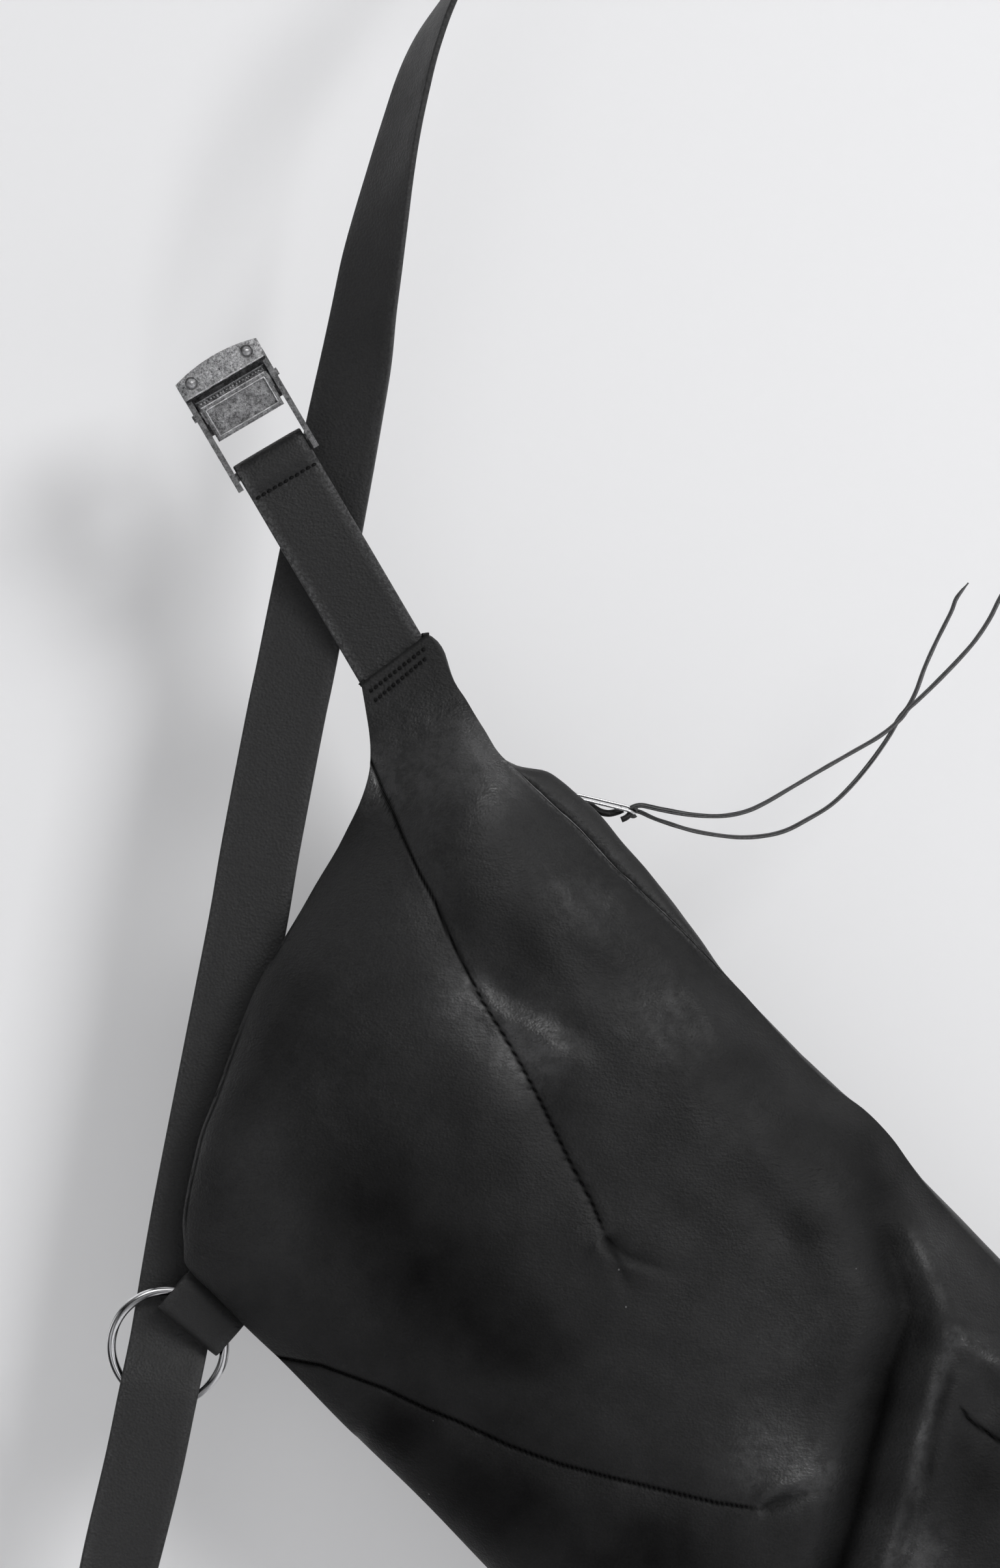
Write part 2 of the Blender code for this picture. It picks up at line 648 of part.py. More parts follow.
def build_cam_spring():
    turns, steps = 3, 36
    start_x, length, radius = 9.9, 2.9, 2.4
    coil = [buckle_point(start_x + length * k / steps, PIN_UP + radius * cos, PIN_Y + radius * sin)
            for k, (cos, sin) in enumerate(arc(0, 360 * turns, steps))]
    wire("cam_spring", steel("spring_wire"), coil, 0.32, resolution=1)


def build_buckle():
    nickel = steel("aged_nickel", roughness=0.4)
    build_cam_frame(nickel)
    build_pin_and_bar()
    build_cam_bridge(nickel)
    build_cam_lever(nickel.copy())
    build_cam_spring()


# ------------------------------------------------------------------ O-ring and tab
STRAP_RUN = Vector((0.2, 0, 0.98)).normalized()    # direction of the long strap at the ring
RING_SIDE = quarter_turn(STRAP_RUN)
RING_UP = (STRAP_RUN * math.cos(math.radians(RING_TILT_DEG))
           + FRONT * math.sin(math.radians(RING_TILT_DEG))).normalized()
RING_AXIS = RING_SIDE.cross(RING_UP).normalized()


def build_ring():
    circle = arc(0, 360, 40)[:-1]
    points = [RING_CENTRE + RING_SIDE * (RING_RADIUS * MM * cos)
              + RING_UP * (RING_RADIUS * MM * sin) for cos, sin in circle]
    wire("o_ring", steel("ring_metal", roughness=0.1), points, RING_WIRE,
         closed=True, resolution=3)


def onto_ring(direction):
    """A direction laid into the ring's plane."""
    return (direction - RING_AXIS * direction.dot(RING_AXIS)).normalized()


def build_ring_tab():
    """A folded tab whose two layers pass either side of the ring's wire."""
    outward = Vector((-0.654, 0, -0.756)).normalized()
    tab_out, tab_side = onto_ring(outward), onto_ring(-quarter_turn(outward))
    # the fold line's middle, moved in depth until it lies in the ring's plane
    shift = (RING_CENTRE - TAB_FOLD).dot(RING_AXIS) / DEPTH.dot(RING_AXIS)
    fold_middle = TAB_FOLD + DEPTH * shift
    gap = RING_WIRE + 0.45 + TAB_THICK / 2
    # (distance back from the fold, offset from the ring's plane)
    profile = [(15.9, gap - 0.1), (10.0, gap), (5.0, gap)]
    profile += [(gap + TAB_THICK / 2 - gap * cos, gap * sin) for cos, sin in arc(90, -90, 6)]
    profile += [(5.0, -gap), (10.0, -gap), (15.9, -gap + 0.1)]
    centres = [fold_middle - tab_out * (back * MM) + RING_AXIS * (offset * MM)
               for back, offset in profile]
    ribbon("ring_tab", leather("tab_leather"), centres, [tab_side] * len(centres),
           TAB_WIDTH, TAB_THICK)


# ------------------------------------------------------------------ long strap
# (x, z) from the ring up to the cut end at the shoulder
UPPER_PATH = [
    (-210.2, 17.6), (-202, 66), (-190.2, 126.5), (-180, 178.6), (-175, 207.9),
    (-165.4, 258), (-162.4, 272), (-157.5, 296.6), (-152.5, 321.5), (-142.5, 373),
    (-138.2, 395), (-135.5, 412.4), (-132, 433), (-129.2, 447), (-125.5, 464.6),
    (-121.5, 482), (-116, 502.4), (-110.7, 517), (-102.4, 532.9), (-92.5, 548.5),
    (-80, 563), (-66, 575.5), (-52, 586), (-38, 596.5), (-24, 607),
]
# (z, twist in degrees); 0 lies flat, 90 stands on edge
UPPER_TWIST = [
    (-30, 0), (130, 0), (271, 3), (321, 8), (347, 13), (373, 20), (395, 27), (412, 35),
    (433, 41), (447, 47), (465, 55), (485, 62), (504, 67), (518, 73), (533, 82),
    (550, 88), (570, 90), (700, 90),
]
# (x, y, z) from the ring down, under the bag and up to its far end
LOWER_PATH = [
    (-211.0, -3.6, 13.6), (-213.0, -7.3, 4.0), (-215.5, -8.6, -8), (-220.5, -8.7, -32),
    (-229.5, -8.6, -69), (-236, -9.5, -100), (-238, -13, -140), (-227, -18, -185),
    (-196, -20, -228), (-145, -20, -262), (-80, -20, -283), (-10, -20, -292),
    (60, -20, -292), (125, -20, -284), (178, -18, -263), (209, -16, -232),
    (214, -13, -202), (200, -10.5, -180), (187, -10.1, -170), (180.4, -10.1, -163.2),
    (176.0, -10.1, -158.7),
]
# (sample number, twist in degrees)
LOWER_TWIST = [
    (0, 0), (9, 0), (13, 25), (18, 75), (21, 90), (38, 90), (42, 75), (47, 25),
    (51, 0), (57, 0),
]


def long_strap(name, mat, centres, twists):
    """A strap along centres, turned about its line by twists in degrees."""
    sides = []
    for i, twist in enumerate(twists):
        run = chord(centres, i)
        run.y = 0
        angle = math.radians(twist)
        flat = quarter_turn(run.normalized())
        sides.append((flat * math.cos(angle) + FRONT * math.sin(angle)).normalized())
    ribbon(name, mat, centres, sides, STRAP_WIDTH, STRAP_THICK)


def build_long_strap():
    upper = through([(x, 0, z) for x, z in UPPER_PATH], 61)
    twists = [curve_value(UPPER_TWIST, centre.z / MM) for centre in upper]
    # the strap comes forward as it turns on edge
    forward = STRAP_WIDTH / 2 * 0.75
    for centre, twist in zip(upper, twists):
        centre.y = (STRAP_Y - forward * math.sin(math.radians(twist))) * MM
    long_strap("long_strap_upper", leather("strap_leather"), upper, twists)

    lower = through(LOWER_PATH, 58)
    twists = [curve_value(LOWER_TWIST, i) for i in range(len(lower))]
    long_strap("long_strap_lower", leather("strap_leather_lower"), lower, twists)


build_panels()
build_lining()
build_zip()
build_slider()
build_puller()
build_lace()
build_neck_strap()
build_buckle()
build_ring()
build_ring_tab()
build_long_strap()
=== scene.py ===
"""Looks for a soft leather sling bag: panels with darts and folds, straps, cam buckle,
ring, zip and lace.

The bag hangs upright in the CAD frame: x runs right, z up, and the front faces -y. Its own
axes lie in the x-z plane: `along` follows the zip, right and downwards, and `down` leads from
the zip to the lower seam, left and downwards. Lengths are in millimetres until a mesh is made.
"""

import math
from typing import NamedTuple

import bmesh
import bpy
import numpy as np
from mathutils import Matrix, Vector

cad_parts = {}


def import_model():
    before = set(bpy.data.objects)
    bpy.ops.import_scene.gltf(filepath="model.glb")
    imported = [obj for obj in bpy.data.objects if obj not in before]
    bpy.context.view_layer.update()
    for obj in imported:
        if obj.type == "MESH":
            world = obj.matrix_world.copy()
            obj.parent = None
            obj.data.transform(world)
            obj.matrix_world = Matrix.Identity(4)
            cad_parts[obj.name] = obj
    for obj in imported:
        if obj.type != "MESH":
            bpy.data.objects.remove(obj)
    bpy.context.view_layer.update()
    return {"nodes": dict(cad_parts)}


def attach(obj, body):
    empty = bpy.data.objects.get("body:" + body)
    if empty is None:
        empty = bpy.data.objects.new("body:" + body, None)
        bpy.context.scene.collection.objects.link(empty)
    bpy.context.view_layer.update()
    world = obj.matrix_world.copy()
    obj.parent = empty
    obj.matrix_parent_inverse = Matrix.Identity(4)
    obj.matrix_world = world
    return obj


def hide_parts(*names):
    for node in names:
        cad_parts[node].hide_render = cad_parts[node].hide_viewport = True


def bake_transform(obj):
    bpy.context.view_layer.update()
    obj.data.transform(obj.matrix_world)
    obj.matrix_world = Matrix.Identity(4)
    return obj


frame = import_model()
NODES = frame["nodes"]
MM = 0.001

# ------------------------------------------------------------ driving dimensions
TILT = math.radians(45.9)            # slope of the zip
COS, SIN = math.cos(TILT), math.sin(TILT)
PANEL_START, PANEL_END = -289.2, 239.4   # ends of the panels, along
RIM_Y, RIM_AT_ZIP = -13.5, 16.5      # front rim, and how far it comes forward beside the zip
BACK_RIM_Y, BACK_RIM_AT_ZIP_Y = -6.8, -1.2
ZIP_DOWN, ZIP_Y = -111.0, -11.5
BACKWARD = np.array([0.0, 1.0, 0.0])

# the relief is laid out as the camera sees it on the upright plane through the seams
CAMERA_X, CAMERA_Z, CAMERA_DISTANCE, SEAM_PLANE_Y = -83.0, 231.9, 6000.0, -12.0
VIEW_WIDTH = 602.0

# ------------------------------------------------------- seams: (along, down)
LOWER_SEAM = [
    (-289.5, -90.6), (-280.0, -84.1), (-273.4, -79.4), (-268.8, -75.6), (-261.2, -66.9),
    (-258.1, -61.4), (-255.2, -54.8), (-252.8, -47.9), (-250.2, -40.5), (-246.0, -24.7),
    (-242.3, -12.0), (-239.5, -1.3), (-235.2, 14.4), (-228.2, 32.0), (-220.5, 48.1),
    (-213.9, 61.4), (-208.8, 72.7), (-201.9, 83.9), (-195.4, 93.7), (-188.4, 102.6),
    (-181.5, 108.5), (-176.7, 112.8), (-172.5, 113.6), (-160.4, 113.3), (-143.3, 113.2),
    (-125.1, 112.4), (-87.3, 112.1), (-49.6, 110.7), (-11.3, 110.9), (30, 111), (70, 110),
    (105, 105), (140, 93), (175, 71), (205, 41), (228, 12), (240, -1)]
TOP_SEAM = [
    (-289.5, -120.5), (-282.4, -121.8), (-276.4, -120.6), (-271.6, -119.0), (-263.8, -116.3),
    (-256.7, -115.0), (-250.5, -113.5), (-243.0, -111.9), (-233.4, -109.8), (-226.2, -109.9),
    (-211.7, -110.4), (-191.9, -111.5), (-169.1, -111.3), (-155.8, -112.0), (-129.3, -112.8),
    (-112.5, -112.9), (-101.8, -112.9), (-85.1, -112.1), (-52.8, -112.4), (-36.6, -115.3),
    (-23.5, -115.3), (-5.0, -112.5), (9.5, -111.3), (42.4, -110.7), (130, -111.5), (162, -107),
    (192, -92), (217, -66), (232, -44), (240, -31)]
FACING_EDGE = [
    (-236, -109.8), (-229.4, -110.6), (-224.8, -111.5), (-219.9, -113.9), (-215.0, -116.8),
    (-208.4, -118.5), (-201.4, -119.4), (-194.3, -120.4), (-186.2, -120.6), (-173.6, -119.7),
    (-161.4, -119.2), (-148.3, -118.0), (-141.1, -117.2), (-127.6, -115.4), (-115.4, -113.2),
    (-108, -112.4), (-60, -112.4), (-36.6, -114.8), (-23, -114.8), (0, -111.8), (150, -111.5)]


# ------------------------------------------------------------- basic mathematics
def world(along, down, y):
    """Point in the CAD frame from the bag's own axes."""
    along, down, y = np.broadcast_arrays(along, down, y)
    return np.stack([COS * along - SIN * down, y, -SIN * along - COS * down], -1)


def bag_axes(x, z):
    return COS * x - SIN * z, -SIN * x - COS * z


def curve(table):
    """A smooth function through a table, as a dense lookup."""
    table = np.array(table, float)
    given, values = table.T
    x = np.linspace(given[0], given[-1], 1600)
    slopes = np.gradient(values, given)
    i = np.clip(np.searchsorted(given, x, side="right") - 1, 0, len(table) - 2)
    step = given[i + 1] - given[i]
    part = (x - given[i]) / step
    y = ((2 * part**3 - 3 * part**2 + 1) * values[i]
         + (part**3 - 2 * part**2 + part) * step * slopes[i]
         + (3 * part**2 - 2 * part**3) * values[i + 1]
         + (part**3 - part**2) * step * slopes[i + 1])
    return lambda where: np.interp(where, x, y)


def smooth(x):
    x = np.clip(x, 0, 1)
    return x * x * (3 - 2 * x)


def bell(distance, width):
    return np.exp(-(distance / width) ** 2)


def span(share, start, rise, end, fall):
    """1 along a line, easing in over `rise` from `start` and out over `fall` up to `end`."""
    return smooth((share - start) / rise) * smooth((end - share) / fall)


def unit(vectors):
    return vectors / np.linalg.norm(vectors, axis=-1, keepdims=True)


def value_noise(seed, cells=64):
    """Smooth repeating noise from -1 to 1 over a grid of random values."""
    grid = np.random.default_rng(seed).uniform(-1, 1, (cells, cells))

    def at(x, y):
        i, j = np.floor(x).astype(int), np.floor(y).astype(int)
        x_part, y_part = smooth(x - i), smooth(y - j)

        def row(j):
            return (grid[i % cells, j % cells] * (1 - x_part)
                    + grid[(i + 1) % cells, j % cells] * x_part)
        return row(j) * (1 - y_part) + row(j + 1) * y_part
    return at


noise_a, noise_b, noise_c = value_noise(3), value_noise(11), value_noise(29)
lower_seam, top_seam, facing_edge = curve(LOWER_SEAM), curve(TOP_SEAM), curve(FACING_EDGE)


def lower_seam_stretch(along):
    """Length of the lower seam per length along the bag."""
    slope = (lower_seam(along + 0.6) - lower_seam(along - 0.6)) / 1.2
    return np.sqrt(1 + slope**2)


def zip_window(along):
    """1 where the zip runs, fading out towards both ends."""
    return smooth((along + 262) / 40) * (1 - smooth((along - 140) / 75))


def rim_y(window):
    return RIM_Y - RIM_AT_ZIP * window


def to_line(x, z, line):
    """Distance to a polyline, signed side, and share of its length, for arrays of points."""
    points = np.array(line, float)
    segments = np.diff(points, axis=0)
    lengths = np.hypot(*segments.T)
    starts = np.concatenate([[0], np.cumsum(lengths)[:-1]])
    best = np.full(x.shape, 1e9)
    side = np.zeros(x.shape)
    share = np.zeros(x.shape)
    for k, (run_x, run_z) in enumerate(segments):
        off_x, off_z = x - points[k, 0], z - points[k, 1]
        part = (off_x * run_x + off_z * run_z) / lengths[k] ** 2
        # the share runs on past both ends of the line
        low = -9 if k == 0 else 0
        high = 9 if k == len(segments) - 1 else 1
        foot = np.clip(part, 0, 1)
        distance = np.hypot(off_x - foot * run_x, off_z - foot * run_z)
        closer = distance < best
        best = np.where(closer, distance, best)
        side = np.where(closer, (run_x * off_z - run_z * off_x) / lengths[k], side)
        passed = (starts[k] + np.clip(part, low, high) * lengths[k]) / lengths.sum()
        share = np.where(closer, passed, share)
    return best, side, share


def inflate(step=2.5, relax=1.9, rounds=260):
    """Height of a pillow over the panel's outline: the root of a Poisson solution."""
    alongs = np.arange(-295, 248, step)
    downs = np.arange(-128, 122, step)
    along, down = np.meshgrid(alongs, downs, indexing="ij")
    inside = ((down > top_seam(along)) & (down < lower_seam(along))
              & (along > -289.5) & (along < 240))
    i, j = np.indices(along.shape)
    checkers = [inside & ((i + j) % 2 == parity) for parity in (0, 1)]
    solved = np.zeros(along.shape)
    for _ in range(rounds):
        for cells in checkers:
            around = sum(np.roll(solved, way, axis) for axis in (0, 1) for way in (1, -1))
            mean = (around + step * step * 2) / 4
            solved = np.where(cells, solved + relax * (mean - solved), solved)
    square = np.maximum(solved, 0)

    def at(along, down):
        x, y = (along - alongs[0]) / step, (down - downs[0]) / step
        i = np.clip(np.floor(x).astype(int), 0, len(alongs) - 2)
        j = np.clip(np.floor(y).astype(int), 0, len(downs) - 2)
        x_part, y_part = np.clip(x - i, 0, 1), np.clip(y - j, 0, 1)
        near = square[i, j] * (1 - x_part) + square[i + 1, j] * x_part
        far = square[i, j + 1] * (1 - x_part) + square[i + 1, j + 1] * x_part
        return np.sqrt(np.maximum(near * (1 - y_part) + far * y_part, 0))
    return at, math.sqrt(square.max())


pillow, PILLOW_MAX = inflate()


# --------------------------------------- relief of the front: lines of (x, z) as seen
class Dart(NamedTuple):
    depth: float        # how far the leather rolls down into the seam
    width: float        # of the roll
    groove: float       # width of the seam's own groove
    thread: tuple       # share of the line where the thread starts and ends
    line: list          # from the seam to the tip


DARTS = [
    Dart(2.7, 9.5, 0.85, (0.03, 0.995), [
        (-133.5, 243.5), (-132.0, 239.3), (-130.2, 235.1), (-127.5, 228.1), (-123.5, 219.4),
        (-120.5, 211.9), (-114.0, 197.6), (-108.2, 187.1), (-103.0, 174.6), (-97.5, 164.1),
        (-90.0, 148.9), (-82.2, 136.4), (-74.8, 123.9), (-67.0, 109.1), (-56.0, 86.6),
        (-48.0, 71.9), (-42.0, 57.9)]),
    Dart(2.6, 9.0, 0.85, (0.03, 0.995), [
        (-170.0, 12.4), (-167.8, 11.6), (-152.0, 8.6), (-128.2, -0.1), (-110.8, -8.4),
        (-100.0, -12.6), (-80.0, -22.1), (-60.0, -29.4), (-40.0, -34.6), (-20.0, -39.4),
        (0.0, -44.1), (18.0, -46.6)]),
    Dart(3.2, 10.0, 0.9, (0.1, 0.99), [
        (195, -92), (170, -70), (140, -44), (122, -30.5), (109.0, -20.6), (102.5, -16.1),
        (97.2, -12.1), (93.2, -6.1)]),
    Dart(2.4, 9.0, 1.0, (0.15, 0.98), [
        (75, -240), (82, -215), (90, -190), (100, -168), (108, -150)])]

# puckers that start at dart tips: depth, width, side of the raised flank, line
PUCKERS = [
    (1.5, 2.4, -4.6, [(-42, 57.9), (-35, 51.5), (-25, 47.5), (-14, 44)]),
    (0.7, 3.4, -6.0, [(-42, 57.9), (-36, 46), (-29.2, 32)]),
    (2.4, 2.2, 5.0, [(18.0, -46.4), (26.6, -42.6), (34.6, -40.4), (42.6, -39.9)])]

# the large fold at the lower right, its branch, and its cross-sections: (side, height)
LARGE_FOLD = [
    (58, 84), (62.2, 65), (65.8, 54.4), (71.1, 41), (74.2, 31), (70.5, 18), (66.2, 4.6),
    (63.1, -9.7), (58.6, -25.7), (54.2, -45.2), (48.9, -63), (43, -84), (36, -108)]
BRANCH = [(84, 21), (92.4, 21.4), (105.8, 12.6), (130, -2)]
deep_section = curve([
    (-42, 0), (-30, 0.3), (-22, 0.9), (-16.5, 0.9), (-12.5, -0.3), (-10, -1.9), (-7, -4.0),
    (-4, -5.9), (-1.6, -6.7), (0.2, -6.4), (2.2, -4.9), (4.4, -3.0), (7, -1.3), (10, 0.4),
    (13.5, 2.2), (16.3, 3.3), (18.6, 2.5), (21.3, 0.9), (26, 1.6), (33, 0.6), (42, 0)])
soft_section = curve([
    (-34, 0), (-24, 0.3), (-14, -0.4), (-6, -3.6), (-1, -5.2), (5, -2.4), (10, 1.8),
    (14, 2.9), (20, 1.9), (30, 0), (42, 0)])

# slanting folds between the first dart and the zip:
# line, span (start, rise, end, fall), reach to either side, waves (height, side, width)
SLANTING_FOLDS = [
    ([(-92, 158), (-88.8, 154.3), (-75.4, 145.4), (-64.2, 139.9), (-50.8, 132), (-36, 121)],
     (-0.05, 0.2, 1.02, 0.6), 22, [(-2.2, 2.5, 5.5), (1.5, -6.5, 4.6)]),
    ([(-52, 206), (-40, 190), (-24, 168), (-6, 142), (8, 122)],
     (-0.1, 0.35, 1.1, 0.35), 30, [(1.3, 4, 7.0), (-1.3, -8, 7.5)]),
    ([(-66, 200), (-56, 184), (-44, 168), (-30, 156)],
     (-0.1, 0.35, 1.1, 0.35), 30, [(1.1, 4, 7.0), (-1.1, -8, 7.5)])]

# soft hollows and swellings: x, z, scale of x, scale of z, radius, height
SWELLINGS = [
    (104, -4, 1, 1, 9, -2.2), (-76, 166, 1, 0.9, 15, -3.2), (-124, 50, 1, 0.62, 26, -3.6),
    (-84, 226, 1, 0.8, 20, 3.0), (-30, 150, 0.6, 1, 22, -2.0), (20, -26, 1, 0.9, 20, 2.4)]

FINE_CREASES = [
    ((-10, -11), (8, -6.5), (26, -2.0)), ((-6, -14), (14, -9.5), (28, -7.0)),
    ((-103, 201), (-92, 204), (-84, 211)), ((-118, 243), (-108, 246), (-98, 251)),
    ((-116, 238), (-104, 243)), ((-19, 196), (-26, 204))]

# stitched rows across the neck, upper then lower: start and end
NECK_ROWS = [((-133.4, 267.0), (-111.6, 284.2)), ((-131.6, 263.4), (-111.2, 280.4))]
NECK_STITCH_COUNT = 12

# painted highlights and painted shade on the front panel's colour, lighter or darker: spots (x,
# z, radius, change) and lines (line, width, change); the lines paint shade along the large fold
PAINTED_LIGHT_AND_SHADE_SPOTS = [
    (-94, 247, 9, 1.7), (50, 108, 14, 0.2), (12, 143, 18, 0.15), (-192, 58, 14, 0.3),
    (-85, 232, 20, 0.4), (-106, 240, 16, 0.5), (-130, 238, 9, 0.7), (-88, 262, 8, -0.3),
    (-112, 256, 9, -0.15), (-122, 225, 12, 0.3), (-40, 205, 16, -0.15), (-72, 132, 16, 0.95),
    (-95, 148, 16, 0.45), (-128, 262, 14, 0.2), (18, -28, 22, 0.35), (-146, 104, 20, -0.16),
    (-138, 80, 22, -0.3), (-122, 54, 26, -0.4), (-96, 30, 26, -0.36), (-72, 12, 24, -0.3),
    (-124, -16, 15, -0.6), (-100, -36, 20, -0.4), (-72, -44, 22, -0.55), (-15, -66, 24, -0.5),
    (-45, -62, 20, -0.3), (-76, 168, 18, -0.22), (-150, 140, 22, -0.1), (-40, 100, 24, 0.14),
    (-10, 70, 24, 0.1), (-60, 60, 22, 0.12), (-172, 60, 14, 0.2), (77, 50, 10, 0.45),
    (-50, 186, 16, 0.1), (60, -4, 14, -0.15), (-135, 180, 26, 0.7), (-122, 196, 18, 0.3),
    (-178, 90, 15, 0.55), (-165, 60, 16, 0.2), (80, -20, 10, 0.3), (75, -64, 14, 0.3),
    (0, 20, 30, 0.15), (66, 54, 10, -0.12), (71, 41, 10, -0.12), (59, 72, 12, -0.2),
    (37, 60, 7, -0.3), (33, 68, 6, -0.2), (104, -34, 16, -0.45), (96, -58, 12, -0.3),
    (92, -22, 6, -0.2), (48, 100, 16, -0.15)]
PAINTED_SHADE_LINES = [
    ([(58, 94), (64, 72), (69, 52)], 8.0, -0.16),
    ([(67, 54)] + LARGE_FOLD[3:], 6.5, -0.34),
    ([(90, 3), (86.5, -6), (83.5, -18), (81.8, -32)], 2.0, -0.34)]

# grain polished by handling, in the same columns
SHINE_SPOTS = [
    (-94, 247, 8, 1.2), (-130, 238, 8, 0.5), (-72, 132, 13, 1.25), (-96, 148, 13, 0.6),
    (-22, 142, 17, 0.42), (-50, 187, 17, 0.38), (-103, 243, 17, 1.0), (-86, 236, 10, 1.1),
    (-126, 234, 12, 0.6), (20, -27, 16, 0.7), (38, -33, 9, 1.0), (78, 52, 8, 0.35),
    (83, 36, 8, 0.3), (75, -66, 15, 0.9), (-136, 232, 10, 0.4), (-140, 120, 18, 0.25),
    (-104, 205, 12, 0.3), (30, 20, 14, 0.25)]
SHINE_LINES = [
    ([(92.4, 20.6), (86, 5), (81.5, -10), (78, -25), (76.8, -40)], 2.4, 1.2),
    ([(92.4, 20.6), (105, 13), (125, 2)], 3.0, 0.8),
    ([(-93, 156), (-86.5, 148.8), (-73.1, 136.5), (-62, 127.5)], 4.0, 0.6)]


def seen(x, y, z):
    """Where a point appears on the upright plane through the seams, from the camera."""
    scale = CAMERA_DISTANCE / (CAMERA_DISTANCE + (y - SEAM_PLANE_Y))
    return CAMERA_X + (x - CAMERA_X) * scale, CAMERA_Z + (z - CAMERA_Z) * scale


def stitch_middles(start, end, count):
    """Middles of a row of stitches, and the row's direction."""
    start, end = np.array(start), np.array(end)
    shares = (np.arange(count) + 0.5) / count
    return start + (end - start) * shares[:, None], unit(end - start)


# Each relief function gives heights, positive towards the viewer, and how creased it is, which
# darkens the colour as painted shade.
def dart_relief(x, z):
    height = crease_shade = 0.0
    for dart in DARTS:
        gap, side, share = to_line(x, z, dart.line)
        reach = span(share, start=-0.04, rise=0.06, end=1.05, fall=0.35)
        groove = span(share, start=-0.03, rise=0.03, end=1.01, fall=0.06)
        height = height - dart.depth * reach * bell(gap, dart.width)
        height -= 1.1 * groove * bell(gap, dart.groove)
        # painted shade along the seam's groove
        crease_shade = crease_shade + smooth((1.01 - share) / 0.05) * bell(gap, dart.groove * 0.74)
        # the leather stands up a little beyond the tip, where the dart lets go
        tip_x, tip_z = dart.line[-1]
        height += 2.2 * bell(np.hypot(x - tip_x, z - tip_z), 17) * smooth((share - 0.8) / 0.4)
        # small gathers across the seam
        height += 0.28 * reach * bell(gap, 5) * noise_a(share * 46, side * 0.22 + 5)
    return height, crease_shade


def pucker_relief(x, z):
    """One flank is steep, the other lifted into a soft ridge."""
    height = crease_shade = 0.0
    for depth, width, ridge, line in PUCKERS:
        gap, side, share = to_line(x, z, line)
        reach = span(share, start=-0.1, rise=0.15, end=1.02, fall=0.75)
        height = height - depth * reach * bell(gap, width)
        height += 0.9 * depth * reach * bell(side - ridge, 3.4) * (1 - smooth((gap - 9) / 6))
        # painted shade in the pucker's hollow
        crease_shade = crease_shade + 0.4 * reach * bell(gap, width * 0.45)
    return height, crease_shade


def large_fold_relief(x, z):
    """The leather drops steeply into a gap and rises to a ridge."""
    gap, side, share = to_line(x, z, LARGE_FOLD)
    deep = smooth((share - 0.16) / 0.34)
    reach = span(share, start=0.0, rise=0.2, end=1.0, fall=0.12)
    section = deep_section(side) * deep + soft_section(side) * (1 - deep)
    height = reach * section * (1 - smooth((gap - 30) / 12))
    # painted shade on the floor of the gap and along two lines beside it
    floor = smooth((side + 10.5) / 9.0) * (1 - smooth((side - 0.5) / 5.5))
    crease_shade = (0.08 + 0.28 * deep) * floor
    crease_shade += deep * (0.2 * bell(side - 0.2, 2.2) + 0.25 * bell(side - 20.5, 2.0))
    crease_shade *= reach * (1 - smooth((gap - 20) / 10))
    gap, _, share = to_line(x, z, BRANCH)
    height += 3.6 * span(share, start=-0.2, rise=0.3, end=1.1, fall=0.6) * bell(gap, 6.5)
    return height, crease_shade


def slanting_fold_relief(x, z):
    height = 0.0
    for line, ends, reach, waves in SLANTING_FOLDS:
        gap, side, share = to_line(x, z, line)
        for rise, at_side, width in waves:
            height += rise * span(share, *ends) * bell(side - at_side, width) * (gap < reach)
    return height, 0.0


def slack_relief(x, z):
    """Hollows and swellings, slow unevenness, wrinkles below the neck, fine creases."""
    # a long slanting hollow in the belly, measured across and along itself
    off_x, off_z = x - 24, z - 62
    hollow = np.hypot(off_x * 0.8 + off_z * 0.6, (off_z * 0.8 - off_x * 0.6) * 0.4)
    height = -1.6 * bell(hollow, 7.0)
    for at_x, at_z, scale_x, scale_z, radius, rise in SWELLINGS:
        height += rise * bell(np.hypot((x - at_x) * scale_x, (z - at_z) * scale_z), radius)
    height += 0.9 * noise_b(x / 34 + 7, z / 34 + 3) + 0.35 * noise_c(x / 13, z / 13 + 9)
    wrinkles = (0.55 * noise_a(x / 5.5 + 1, z / 9 + 2)
                + 0.4 * noise_b((x + z) / 7, (x - z) / 12 + 5)
                + 1.0 * noise_c(x / 15 + 4, z / 13))
    height += bell(np.hypot((x + 112) * 0.9, z - 238), 22) * wrinkles
    for line in FINE_CREASES:
        gap, _, share = to_line(x, z, line)
        height -= 0.28 * bell(gap, 0.8) * span(share, start=-0.1, rise=0.3, end=1.1, fall=0.3)
    return height, 0.0


def neck_stitch_relief(x, z):
    """Each stitch presses a small dent, and each row a shallow trough."""
    height = crease_shade = 0.0
    near = np.hypot(x + 122.5, z - 274) < 22
    for row in NECK_ROWS:
        middles, (unit_x, unit_z) = stitch_middles(*row, NECK_STITCH_COUNT)
        for middle_x, middle_z in middles:
            lengthwise = (x - middle_x) * unit_x + (z - middle_z) * unit_z
            crosswise = (z - middle_z) * unit_x - (x - middle_x) * unit_z
            dent = np.exp(-(lengthwise / 0.8) ** 4 - (crosswise / 0.6) ** 2)
            dent = np.where(near, dent, 0)
            # painted shade in each stitch's dent
            crease_shade += dent
            height -= 0.45 * dent
        height -= 0.12 * bell(to_line(x, z, row)[0], 1.5)
    return height, crease_shade


RELIEFS = (dart_relief, pucker_relief, large_fold_relief, slanting_fold_relief,
           slack_relief, neck_stitch_relief)


def front_base(along, down):
    """The panel's y before any relief."""
    below_top = np.maximum(down - top_seam(along), 0)
    above_low = np.maximum(lower_seam(along) - down, 0)
    window = zip_window(along)
    rim = rim_y(window * bell(below_top, 60) * smooth(above_low / 40))
    dome = 41.0 * (pillow(along, down) / PILLOW_MAX) ** 0.95
    dome *= 1 - window * np.exp(-below_top / 15)
    return rim - dome * smooth((along + 292) / 80)


